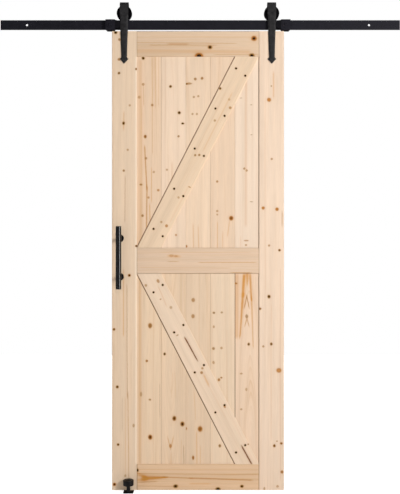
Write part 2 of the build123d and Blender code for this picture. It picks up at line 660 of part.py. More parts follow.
for side, sign in SIDES:
    x = sign * stop_x

    # Clip: hooked over the track's edges, its top sloping to the front, its back mouth clear of the spacers
    with BuildPart() as clip:
        with BuildSketch(Plane.YZ.offset(x)):
            with BuildLine():
                Polyline(
                    (stop_front, stop_bottom),
                    (stop_back, stop_bottom),
                    (stop_back, stop_top),
                    (clamp_end, stop_top),
                    (stop_front, stop_top - STOP_TOP_FALL),
                    close=True,
                )
            make_face()
            with Locations(((track_front + track_back) / 2, track_middle)):
                Rectangle(
                    TRACK_THICKNESS + 2 * STOP_TRACK_FIT,
                    TRACK_HEIGHT + 2 * STOP_TRACK_FIT,
                    mode=Mode.SUBTRACT,
                )
            with Locations((stop_back, track_middle)):
                Rectangle(2 * STOP_LIP_THICKNESS, stop_mouth, mode=Mode.SUBTRACT)
        extrude(amount=STOP_WIDTH / 2, both=True)
        with BuildSketch(facing(stop_back, x)) as outline:
            with Locations((0, stop_middle)):
                Rectangle(STOP_WIDTH, stop_top - stop_bottom)
            chamfer(outline.vertices(), STOP_CORNER)
        extrude(amount=stop_back - stop_front, mode=Mode.INTERSECT)
        with BuildSketch(facing(stop_front, x)):
            with Locations((0, stop_middle)):
                Circle(STOP_BOSS_DIAMETER / 2)
        extrude(amount=STOP_BOSS_HEIGHT)
        chamfer(clip.edges().filter_by(GeomType.CIRCLE).group_by(Axis.Y)[0], STOP_BOSS_EASE)
        with BuildSketch(facing(boss_front, x)):
            with Locations((0, stop_middle)):
                Circle(CLAMP_SCREW_DIAMETER / 2 + BOLT_FIT)
        extrude(amount=-(track_front - boss_front), mode=Mode.SUBTRACT)
        with BuildSketch(Plane.YZ.offset(sign * bumper_root)):
            with Locations((bumper_depth, stop_middle)):
                Circle(BUMPER_STUD_DIAMETER / 2 + BOLT_FIT)
        extrude(amount=sign * (BUMPER_STUD_LENGTH + BOLT_FIT), mode=Mode.SUBTRACT)
    clip.part.label = f"{side}_stop_clip"
    export_step(clip.part, f"parts/{side}_stop_clip.step")

    # Rubber bumper: tapers to the strap's edge, with a stud pushed into the clip
    with BuildPart() as bumper:
        with BuildSketch(Plane.YZ.offset(sign * bumper_root)):
            with Locations((bumper_depth, stop_middle)):
                Rectangle(BUMPER_ROOT_DEPTH, BUMPER_ROOT_HEIGHT)
        with BuildSketch(Plane.YZ.offset(sign * bumper_tip)):
            with Locations((bumper_depth, stop_middle)):
                Rectangle(BUMPER_TIP_DEPTH, BUMPER_TIP_HEIGHT)
        loft()
        with BuildSketch(Plane.YZ.offset(sign * bumper_root)):
            with Locations((bumper_depth, stop_middle)):
                Circle(BUMPER_STUD_DIAMETER / 2)
        extrude(amount=sign * BUMPER_STUD_LENGTH)
    bumper.part.label = f"{side}_stop_bumper"
    export_step(bumper.part, f"parts/{side}_stop_bumper.step")

    # Clamp screw: a low round head on the boss, its shank end facing the track
    with BuildPart() as clamp_screw:
        with BuildSketch(facing(boss_front, x)):
            with Locations((0, stop_middle)):
                Circle(CLAMP_HEAD_DIAMETER / 2)
        extrude(amount=CLAMP_HEAD_HEIGHT)
        chamfer(clamp_screw.edges().group_by(Axis.Y)[0], CLAMP_HEAD_EASE)
        with BuildSketch(facing(boss_front - CLAMP_HEAD_HEIGHT, x)):
            with Locations((0, stop_middle)):
                RegularPolygon(CLAMP_SOCKET_WIDTH / 2, 6, major_radius=False)
        extrude(amount=-CLAMP_SOCKET_DEPTH, mode=Mode.SUBTRACT)
        with BuildSketch(facing(boss_front, x)):
            with Locations((0, stop_middle)):
                Circle(CLAMP_SCREW_DIAMETER / 2)
        extrude(amount=-(clamp_end - boss_front))
    clamp_screw.part.label = f"{side}_stop_screw"
    export_step(clamp_screw.part, f"parts/{side}_stop_screw.step")

# Handle bar, with a blind hole for each post's end
bar_back = HANDLE_DIAMETER / 2 - HANDLE_REACH
with BuildPart() as handle_bar:
    with BuildSketch(Plane.XY.offset(handle_height - HANDLE_LENGTH / 2)):
        with Locations((handle_x, -HANDLE_REACH)):
            Circle(HANDLE_DIAMETER / 2)
    extrude(amount=HANDLE_LENGTH)
    chamfer(handle_bar.edges().filter_by(GeomType.CIRCLE), HANDLE_EASE)
    with BuildSketch(facing(bar_back, handle_x)):
        with Locations(*[(0, height) for height in post_heights]):
            Circle(POST_DIAMETER / 2 + SCREW_FIT)
    extrude(amount=POST_GRIP + SCREW_FIT, mode=Mode.SUBTRACT)
handle_bar.part.label = "handle_bar"
export_step(handle_bar.part, "parts/handle_bar.step")

# Handle posts and roses, and the screws that hold them from the door's back
for place, height in zip(("lower", "upper"), post_heights):
    with BuildPart() as post:
        with BuildSketch(facing(-ROSE_THICKNESS, handle_x)):
            with Locations((0, height)):
                Circle(POST_DIAMETER / 2)
        extrude(amount=POST_GRIP - bar_back - ROSE_THICKNESS)
        with BuildSketch(facing(-ROSE_THICKNESS, handle_x)):
            with Locations((0, height)):
                Circle(HANDLE_SCREW_DIAMETER / 2 + SCREW_FIT)
        extrude(amount=HANDLE_SCREW_GRIP + BOLT_FIT, mode=Mode.SUBTRACT)
    post.part.label = f"{place}_handle_post"
    export_step(post.part, f"parts/{place}_handle_post.step")

    with BuildPart() as rose:
        with BuildSketch(facing(0, handle_x)):
            with Locations((0, height)):
                Circle(ROSE_DIAMETER / 2)
        extrude(amount=ROSE_THICKNESS)
        chamfer(rose.edges().group_by(Axis.Y)[0], ROSE_EASE)
        with BuildSketch(facing(0, handle_x)):
            with Locations((0, height)):
                Circle(HANDLE_SCREW_DIAMETER / 2 + SCREW_FIT)
        extrude(amount=ROSE_THICKNESS, mode=Mode.SUBTRACT)
    rose.part.label = f"{place}_handle_rose"
    export_step(rose.part, f"parts/{place}_handle_rose.step")

with BuildPart() as handle_screws:
    with BuildSketch(facing(DOOR_THICKNESS + HANDLE_SCREW_HEAD_HEIGHT, handle_x)):
        with Locations(*[(0, height) for height in post_heights]):
            Circle(HANDLE_SCREW_HEAD_DIAMETER / 2)
    extrude(amount=HANDLE_SCREW_HEAD_HEIGHT)
    with BuildSketch(facing(DOOR_THICKNESS, handle_x)):
        with Locations(*[(0, height) for height in post_heights]):
            Circle(HANDLE_SCREW_DIAMETER / 2)
    extrude(amount=DOOR_THICKNESS + ROSE_THICKNESS + HANDLE_SCREW_GRIP)
handle_screws.part.label = "handle_screws"
export_step(handle_screws.part, "parts/handle_screws.step")

# Floor guide places
guide_x = -(door_edge - GUIDE_INSET)
roller_depth = -(GUIDE_SIDE_GAP + ROLLER_DIAMETER / 2)
plate_front = roller_depth - GUIDE_PLATE_MARGIN
pad_front = DOOR_THICKNESS + GUIDE_SIDE_GAP
upstand_front = pad_front + GUIDE_PAD_THICKNESS
upstand_back = upstand_front + GUIDE_PLATE_THICKNESS
roller_top = ROLLER_RISE + ROLLER_HEIGHT
pin_top = roller_top + ROLLER_END_PLAY
pillar_top = ROLLER_RISE - ROLLER_END_PLAY
pad_height = GUIDE_UPSTAND_HEIGHT - GUIDE_PAD_TOP_MARGIN - GUIDE_PAD_HEIGHT / 2
floor_hole_depth = door_middle_depth

# Guide base: one plate folded up behind the door
with BuildPart(Plane.XY.offset(GUIDE_PLATE_THICKNESS)) as guide_base:
    with BuildSketch(Plane.YZ.offset(guide_x)) as fold:
        with BuildLine():
            Polyline(
                (plate_front, 0),
                (upstand_back, 0),
                (upstand_back, GUIDE_UPSTAND_HEIGHT),
                (upstand_front, GUIDE_UPSTAND_HEIGHT),
                (upstand_front, GUIDE_PLATE_THICKNESS),
                (plate_front, GUIDE_PLATE_THICKNESS),
                close=True,
            )
        make_face()
        bend = fold.vertices().filter_by(lambda v: v.Y == GUIDE_PLATE_THICKNESS).sort_by(Axis.X)[-1]
        fillet(bend, GUIDE_BEND_RADIUS)
        heel = fold.vertices().filter_by(lambda v: v.Y == 0).sort_by(Axis.X)[-1]
        fillet(heel, GUIDE_BEND_RADIUS + GUIDE_PLATE_THICKNESS)
    extrude(amount=GUIDE_PLATE_WIDTH / 2, both=True)
    fillet(guide_base.edges().filter_by(Axis.Z).group_by(Axis.Y)[0], GUIDE_CORNER)
    fillet(guide_base.edges().filter_by(Axis.Y).group_by(Axis.Z)[-1], GUIDE_CORNER)
    with Locations((guide_x, roller_depth)):
        Hole(radius=ROLLER_PIN_DIAMETER / 2 + SCREW_FIT, depth=GUIDE_PLATE_THICKNESS)
    with Locations(
        (guide_x - FLOOR_HOLE_SPACING / 2, floor_hole_depth),
        (guide_x + FLOOR_HOLE_SPACING / 2, floor_hole_depth),
    ):
        CounterSinkHole(
            radius=FLOOR_HOLE_DIAMETER / 2,
            counter_sink_radius=FLOOR_HOLE_SINK_DIAMETER / 2,
            depth=GUIDE_PLATE_THICKNESS,
            counter_sink_angle=90,
        )
    with BuildSketch(facing(upstand_front, guide_x)):
        with Locations((0, pad_height)):
            Circle(PAD_STUD_DIAMETER / 2 + SCREW_FIT)
    extrude(amount=-GUIDE_PLATE_THICKNESS, mode=Mode.SUBTRACT)
guide_base.part.label = "guide_base"
export_step(guide_base.part, "parts/guide_base.step")

# Guide pad: a glide block studded into the upstand
with BuildPart() as guide_pad:
    with BuildSketch(facing(upstand_front, guide_x)) as block:
        with Locations((0, pad_height)):
            Rectangle(GUIDE_PAD_WIDTH, GUIDE_PAD_HEIGHT)
        fillet(block.vertices(), GUIDE_BEND_RADIUS)
    extrude(amount=GUIDE_PAD_THICKNESS)
    with BuildSketch(facing(upstand_front, guide_x)):
        with Locations((0, pad_height)):
            Circle(PAD_STUD_DIAMETER / 2)
    extrude(amount=-GUIDE_PLATE_THICKNESS)
guide_pad.part.label = "guide_pad"
export_step(guide_pad.part, "parts/guide_pad.step")

# Guide pillar: turned in one, riveted through the plate, with the roller's pin on top
with BuildPart() as guide_pillar:
    with BuildSketch(Plane.XY):
        with Locations((guide_x, roller_depth)):
            Circle(ROLLER_PIN_DIAMETER / 2)
    extrude(amount=pin_top)
    with BuildSketch(Plane.XY.offset(GUIDE_PLATE_THICKNESS)):
        with Locations((guide_x, roller_depth)):
            Circle(PILLAR_DIAMETER / 2)
    extrude(amount=pillar_top - GUIDE_PLATE_THICKNESS)
    with BuildSketch(Plane.XY.offset(pin_top)):
        with Locations((guide_x, roller_depth)):
            Circle(CAP_SCREW_DIAMETER / 2 + SCREW_FIT)
    extrude(amount=-(CAP_SCREW_GRIP + BOLT_FIT), mode=Mode.SUBTRACT)
guide_pillar.part.label = "guide_pillar"
export_step(guide_pillar.part, "parts/guide_pillar.step")

# Guide roller
with BuildPart() as guide_roller:
    with BuildSketch(Plane.XY.offset(ROLLER_RISE)):
        with Locations((guide_x, roller_depth)):
            Circle(ROLLER_DIAMETER / 2)
    extrude(amount=ROLLER_HEIGHT)
    fillet(guide_roller.edges().filter_by(GeomType.CIRCLE), ROLLER_EASE)
    with BuildSketch(Plane.XY.offset(ROLLER_RISE)):
        with Locations((guide_x, roller_depth)):
            Circle(ROLLER_PIN_DIAMETER / 2 + AXLE_RUNNING_FIT)
    extrude(amount=ROLLER_HEIGHT, mode=Mode.SUBTRACT)
guide_roller.part.label = "guide_roller"
export_step(guide_roller.part, "parts/guide_roller.step")

# Cap screw: a wide domed head over the roller, its shank in the pin
cap_screw_foot = pin_top - CAP_SCREW_GRIP
cap_edge_top = pin_top + CAP_HEAD_EDGE
cap_top = pin_top + CAP_HEAD_HEIGHT
with BuildPart() as cap_screw:
    with BuildSketch(Plane.XZ.offset(-roller_depth)):
        with BuildLine():
            Polyline(
                (guide_x, cap_top),
                (guide_x, cap_screw_foot),
                (guide_x + CAP_SCREW_DIAMETER / 2, cap_screw_foot),
                (guide_x + CAP_SCREW_DIAMETER / 2, pin_top),
                (guide_x + CAP_HEAD_DIAMETER / 2, pin_top),
                (guide_x + CAP_HEAD_DIAMETER / 2, cap_edge_top),
            )
            RadiusArc(
                (guide_x + CAP_HEAD_DIAMETER / 2, cap_edge_top),
                (guide_x, cap_top),
                -((CAP_HEAD_DIAMETER / 2) ** 2 + (cap_top - cap_edge_top) ** 2)
                / (2 * (cap_top - cap_edge_top)),
            )
        make_face()
    revolve(axis=Axis((guide_x, roller_depth, 0), (0, 0, 1)))
cap_screw.part.label = "guide_cap_screw"
export_step(cap_screw.part, "parts/guide_cap_screw.step")
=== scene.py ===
"""Dresses the sliding barn door: pine boards, black track and hangers, handle, floor guide and stage."""

import math

import bpy
import numpy as np
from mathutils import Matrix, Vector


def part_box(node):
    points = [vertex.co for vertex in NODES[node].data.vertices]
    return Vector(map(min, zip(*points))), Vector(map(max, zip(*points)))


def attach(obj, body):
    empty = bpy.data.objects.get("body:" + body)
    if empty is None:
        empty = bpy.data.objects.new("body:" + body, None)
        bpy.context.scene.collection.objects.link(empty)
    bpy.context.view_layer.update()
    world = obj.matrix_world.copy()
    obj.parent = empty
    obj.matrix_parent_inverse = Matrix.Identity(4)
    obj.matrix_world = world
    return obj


bl_info = {
    "name": "Sliding barn door",
    "version": (1, 0, 0),
    "blender": (4, 5, 0),
    "location": "View3D > Sidebar > Door",
    "description": "Finishes and small parts of a plank door that slides on a wall track",
    "category": "Object",
}

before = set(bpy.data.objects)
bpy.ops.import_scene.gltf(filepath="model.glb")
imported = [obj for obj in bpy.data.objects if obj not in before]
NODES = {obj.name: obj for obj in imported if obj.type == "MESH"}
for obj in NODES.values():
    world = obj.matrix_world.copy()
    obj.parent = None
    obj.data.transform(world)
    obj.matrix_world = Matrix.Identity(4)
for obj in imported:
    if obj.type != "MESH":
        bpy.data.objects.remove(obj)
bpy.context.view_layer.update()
MM = 0.001

# The camera: its place and its sensor's long side in millimetres, and in pixels the picture's middle
# and long side and the lens's length
EYE_X, EYE_Z, EYE_BACK, SENSOR = 8.93, 1081.33, 3200.0, 36
PICTURE_X, PICTURE_Y, PICTURE_LONG = 200, 247, 494
LENS_PX = 722.7

# Width in millimetres of a brace's sloped end along the rail
BRACE_END = 106.0

# The pine's patterns in millimetres, each with its size across and along the grain
WOBBLE_SIZE, WOBBLE_REACH = (7, 9), (2.4, 0, 3.0)
WAVE_SIZE, WAVE_REACH, STREAK_SWAY = (60, 450), 30, 5
BUNCH_SIZE, PATCH_SIZE, FIBRE_SIZE = (9, 700), (30, 700), (1.4, 60)

# Steps between the boards in their noises, and from a board's other noises to its patches
BOARD_STEP, BUNCH_STEP, PATCH_SEED = 7.3, 3.1, 40

# Rings swell and shrink by this many rings over this many millimetres, and a ring's latewood darkens
# up to this share of the ring
RING_SWING, RING_SWELL, RING_DARKEST = 2.6, 14, 0.86

# Millimetres over which a streak fades at its ends, and the dark joint and painted shadow lines at their
# sides
STREAK_FADE, JOINT_AND_SHADE_FADE = 18, (0.8, 0.4)

# Radius in millimetres of the stain round a screw, and a place that no board reaches
STAIN_RADIUS, NOWHERE = 4.4, 9e4

# The range that most of a noise texture's values lie in
NOISE_LOW, NOISE_HIGH = 0.3, 0.7

# The usual refraction of wood finish, paint and enamel
COAT_IOR = 1.5

# A screw's domed face: points along each side of its grid, share of the head's width, and distances
# in metres from the head at the rim and at the least
FACE_POINTS, FACE_SHARE, FACE_RIM, FACE_LEAST = 33, 0.98, 0.05 * MM, 0.02 * MM

# A thread: points round and along it, its height over its pitch, the share of that height which lies in
# the rod, and the bare end of the rod in metres
THREAD_ROUND, THREAD_ALONG, THREAD_HEIGHT, THREAD_SUNK, THREAD_END = 49, 97, 0.2, 0.3, 0.4 * MM

# Strength of the surround as a light, and of the floor's own white where the camera sees it
SURROUND, FLOOR_GLOW = 0.12, 0.84
FLOOR_CORNERS = [(-4, -5, 0), (4, -5, 0), (4, 4, 0), (-4, 4, 0)]

# Lamps: (name, place, height of the point it faces, width, height, what it stays out of), in metres
LAMPS = (
    ("key", (2.73, -3.04, 2.35), 1.1, 0.6, 1.2, None),
    ("fill", (-0.4, -4.2, 1.1), 1.0, 3.0, 3.0, "visible_glossy"),
    ("back", (-0.6, 4.2, 2.0), 1.1, 3.0, 3.0, "visible_glossy"),
    ("shine", (2.8, -2.6, 1.5), 1.1, 0.5, 2.2, "visible_diffuse"),
    ("strip", (-3.0, -2.0, 0.9), 0.9, 0.12, 1.6, None),
)


def linear(code):
    """The linear colour of an sRGB hex code.

    A channel c becomes c / 12.92 up to 0.04045, and ((c + 0.055) / 1.055) ^ 2.4 above it.
    """
    channels = [int(code[i : i + 2], 16) / 255 for i in (0, 2, 4)]
    return tuple(c / 12.92 if c <= 0.04045 else ((c + 0.055) / 1.055) ** 2.4 for c in channels)


def on_door(px, py, depth=0.0):
    """The (x, z) place in millimetres behind a pixel of the picture, at a depth behind the door's face."""
    scale = (EYE_BACK + depth) / LENS_PX
    return EYE_X + (px - PICTURE_X) * scale, EYE_Z + (PICTURE_Y - py) * scale


def add(tree, kind, inputs=None, output=0, **settings):
    """Add a shader node, set its properties, fill or link its inputs, and give back one output."""
    node = tree.nodes.new(kind)
    for name, value in settings.items():
        setattr(node, name, value)
    for key, value in (inputs or {}).items():
        if isinstance(value, bpy.types.NodeSocket):
            tree.links.new(value, node.inputs[key])
        else:
            node.inputs[key].default_value = value
    return node.outputs[output]


def math_node(tree, operation, *values):
    """A Math node of one operation."""
    return add(tree, "ShaderNodeMath", dict(enumerate(values)), operation=operation)


def vector_node(tree, operation, *values, output=0):
    """A Vector Math node of one operation."""
    return add(tree, "ShaderNodeVectorMath", dict(enumerate(values)), output, operation=operation)


def blend(tree, factor, first, second):
    """Two colours mixed by a factor."""
    return add(tree, "ShaderNodeMix", {0: factor, 6: first, 7: second}, 2, data_type="RGBA")


def rgba(colour):
    """A colour with full alpha."""
    return (*colour[:3], 1.0)


# Knots: (pixel x, pixel y, radius in mm, length over width, darkness, redness)
KNOTS = {
    "left_stile": (
        (115.7, 32.4, 6, 1.0, 1.0, 0.1), (119.5, 39.5, 5, 1.0, 0.5, 0.3), (119.0, 59.4, 5, 1.0, 0.5, 0.5),
        (119.0, 73.1, 4.5, 1.0, 0.75, 0.3), (129.8, 105.3, 4, 1.0, 0.3, 0.5),
        (123.6, 123.2, 5, 1.2, 0.9, 0.4), (127.7, 149.8, 4, 1.0, 0.3, 0.5),
        (123.8, 170.6, 4, 1.0, 0.55, 0.4), (129.3, 275.4, 5, 1.0, 0.95, 0.8),
        (114.0, 329.4, 4.5, 1.0, 0.8, 0.5), (117.3, 386.9, 5, 1.1, 0.85, 0.4),
        (118.1, 444.6, 4.5, 1.0, 0.9, 0.5), (114.5, 484.4, 5.5, 1.0, 0.9, 0.9),
        (125.3, 475.8, 4, 1.2, 0.25, 0.4), (133.6, 425.6, 4, 1.6, 0.35, 0.3),
        (136.4, 246.0, 4.5, 0.8, 0.9, 0.6), (136.2, 69.0, 4, 1.0, 0.7, 0.4),
    ),
    "right_stile": (
        (271.3, 86.0, 3, 1.0, 0.4, 0.3), (269.0, 99.8, 7, 1.0, 0.45, 1.3), (271.7, 158.9, 4, 1.0, 0.4, 0.5),
        (263.2, 208.0, 5.5, 1.0, 0.45, 1.3), (277.0, 209.2, 6, 1.0, 0.5, 1.3),
        (269.1, 245.5, 4, 1.0, 0.4, 0.5), (279.5, 250.2, 4.5, 1.0, 0.8, 0.4),
        (269.0, 296.6, 5.5, 1.2, 0.9, 0.4), (259.8, 308.7, 5.5, 0.8, 0.65, 0.5),
        (271.3, 344.0, 4.5, 1.2, 0.8, 0.4), (263.3, 346.4, 4, 1.0, 0.4, 0.4),
        (278.9, 370.4, 9, 0.9, 0.4, 1.2), (274.3, 445.8, 4.5, 1.2, 0.8, 0.6),
        (281.3, 443.4, 4.5, 0.9, 0.7, 0.6), (277.0, 441.2, 3, 0.8, 0.4, 0.4),
        (282.0, 472.0, 5.5, 1.0, 0.55, 0.7), (277.5, 486.3, 4.5, 1.0, 0.3, 0.5),
        (264.3, 489.0, 3.5, 2.0, 0.35, 0.3),
    ),
    "top_rail": (
        (210.0, 47.2, 6.5, 1.2, 1.0, 0.5), (254.0, 38.4, 8.5, 1.1, 0.95, 1.2),
        (199.0, 55.8, 10, 1.4, 1.0, 1.0), (251.8, 55.5, 8, 1.2, 1.0, 0.4),
    ),
    "middle_rail": (
        (171.5, 255.6, 5, 1.6, 0.1, 0.8), (176.0, 256.2, 4, 1.6, 0.12, 0.8),
    ),
    "bottom_rail": (
        (137.3, 470.2, 6.5, 0.8, 1.0, 0.3), (175.6, 486.2, 6.5, 1.3, 1.0, 0.3),
        (218.0, 489.0, 6.5, 1.4, 1.0, 0.2), (241.9, 486.3, 5.5, 1.2, 1.0, 0.3),
    ),
    "upper_plank_1": (
        (143.2, 58.2, 5.5, 1.0, 1.0, 0.3), (143.2, 84.3, 5, 1.0, 0.3, 0.6),
        (139.2, 97.2, 5, 1.0, 0.25, 0.6), (152.2, 105.0, 4.5, 1.0, 0.45, 0.5),
        (145.3, 136.5, 5, 1.2, 0.65, 0.7), (145.9, 158.3, 4.5, 1.0, 0.4, 0.4),
        (153.8, 172.0, 4, 1.0, 0.25, 0.5), (141.0, 184.6, 5, 0.7, 0.5, 0.4),
        (148.5, 197.5, 4, 1.0, 0.3, 0.8), (158.3, 190.2, 4.5, 1.0, 0.35, 0.9),
        (142.5, 215.7, 4.5, 1.0, 0.5, 0.5),
    ),
    "upper_plank_2": (
        (170.5, 86.5, 5, 1.0, 0.8, 0.3), (179.2, 112.7, 5.5, 1.0, 1.0, 0.3),
        (182.7, 123.5, 5.5, 0.7, 1.0, 0.3), (178.5, 136.3, 4, 1.0, 0.5, 0.4),
        (167.0, 169.7, 4, 1.0, 0.3, 0.5), (176.0, 235.0, 4, 1.0, 0.25, 0.9),
    ),
    "upper_plank_3": (
        (186.2, 83.9, 6, 0.45, 0.8, 0.5), (188.6, 83.6, 12, 0.3, 0.35, 0.4),
        (195.3, 79.0, 5, 1.0, 0.5, 0.4), (202.1, 78.3, 5, 1.0, 0.55, 0.5), (193.8, 97.0, 4, 1.0, 0.35, 0.4),
        (198.3, 96.2, 4, 1.0, 0.35, 0.4), (192.5, 114.0, 4, 1.0, 0.35, 0.4),
        (196.8, 114.0, 4, 1.0, 0.3, 0.4), (185.9, 246.3, 5, 1.0, 0.5, 0.8),
    ),
    "upper_plank_4": (
        (217.2, 181.5, 4, 1.0, 0.45, 0.5), (217.2, 211.0, 4, 1.0, 0.3, 0.5),
        (217.2, 214.5, 3.5, 1.0, 0.25, 0.5), (231.2, 218.2, 7, 1.1, 0.75, 1.2),
    ),
    "upper_plank_5": (
        (244.2, 168.6, 4, 1.0, 0.45, 0.4), (246.7, 170.5, 4, 1.0, 0.4, 0.4),
        (251.5, 201.8, 6, 0.25, 0.4, 0.1), (241.0, 98.0, 4, 0.4, 0.35, 0.1),
        (251.2, 104.8, 4, 0.4, 0.35, 0.1), (251.5, 134.8, 4, 0.4, 0.35, 0.1),
        (246.0, 245.0, 4, 0.8, 0.35, 0.6), (246.2, 240.6, 8, 0.35, 0.3, 0.6),
    ),
    "upper_brace": (
        (220.2, 88.5, 4.5, 1.0, 0.8, 0.3), (229.2, 99.5, 4, 1.0, 0.2, 0.5),
        (230.2, 107.8, 5, 1.0, 0.45, 0.5), (214.8, 120.5, 4, 1.0, 0.35, 0.5),
        (195.2, 155.2, 4, 1.0, 0.5, 0.4), (199.3, 155.0, 4, 1.0, 0.5, 0.4),
        (189.5, 187.0, 5, 0.5, 0.3, 0.8), (178.5, 197.5, 4, 1.0, 0.25, 0.5),
        (166.5, 225.8, 5, 1.0, 0.4, 0.9), (161.3, 222.0, 4, 1.0, 0.3, 0.5),
    ),
    "lower_brace": (
        (158.1, 281.0, 5, 1.4, 0.4, 0.6), (145.9, 285.4, 4.5, 1.0, 0.35, 0.5),
        (160.6, 299.2, 3.5, 0.8, 0.3, 0.5), (171.0, 307.5, 5, 1.0, 0.25, 0.4),
        (177.4, 335.2, 5, 0.5, 0.35, 0.4), (202.4, 368.3, 4, 1.0, 0.4, 0.5),
        (201.6, 372.6, 5, 1.0, 0.45, 0.7), (224.7, 406.6, 3.5, 1.6, 0.4, 0.8),
        (248.8, 443.9, 5, 0.6, 0.5, 0.5),
    ),
    "lower_plank_1": (
        (150.1, 325.7, 7, 1.3, 0.6, 0.7), (146.8, 360.9, 4.5, 1.0, 0.55, 0.7),
        (149.9, 399.6, 4.5, 0.8, 0.45, 0.5), (150.2, 437.2, 7, 1.2, 0.85, 0.9),
        (141.0, 394.2, 4, 2.2, 0.3, 0.3),
    ),
    "lower_plank_2": (
        (164.6, 354.0, 4.5, 1.2, 0.85, 0.3), (174.3, 418.4, 6.5, 1.3, 0.85, 0.7),
        (182.4, 424.0, 7, 1.2, 0.9, 0.6), (170.4, 446.0, 4.5, 1.5, 0.4, 0.9),
    ),
    "lower_plank_3": (
        (193.2, 300.0, 6, 1.2, 0.45, 0.5), (193.0, 316.2, 6, 1.2, 0.45, 0.5),
        (185.4, 428.6, 5.5, 1.0, 0.55, 0.8), (200.1, 429.0, 8, 1.2, 0.65, 0.9),
        (193.1, 457.8, 4, 1.8, 0.6, 0.9),
    ),
    "lower_plank_4": (
        (213.9, 312.8, 4.5, 0.9, 0.55, 0.3), (221.8, 312.5, 4, 0.9, 0.4, 0.3),
        (213.5, 348.5, 5, 1.0, 0.5, 0.4), (221.5, 348.0, 4.5, 1.0, 0.3, 0.6),
        (219.8, 445.8, 4.5, 1.3, 0.6, 0.4), (218.9, 379.8, 4.5, 1.2, 0.5, 0.8),
        (221.4, 377.6, 4, 0.8, 0.5, 0.5), (213.5, 362.5, 4, 1.3, 0.3, 0.5),
        (213.8, 326.8, 3.5, 1.4, 0.3, 0.5),
    ),
    "lower_plank_5": (
        (236.0, 283.4, 5, 0.7, 0.5, 0.6), (246.7, 316.4, 5, 1.4, 0.45, 0.3),
        (248.7, 344.2, 4.5, 1.2, 0.75, 0.4), (241.2, 373.6, 5, 0.6, 0.3, 0.4),
        (241.2, 409.3, 4.5, 0.8, 0.3, 0.4), (246.3, 389.4, 4, 1.4, 0.25, 0.4),
    ),
}
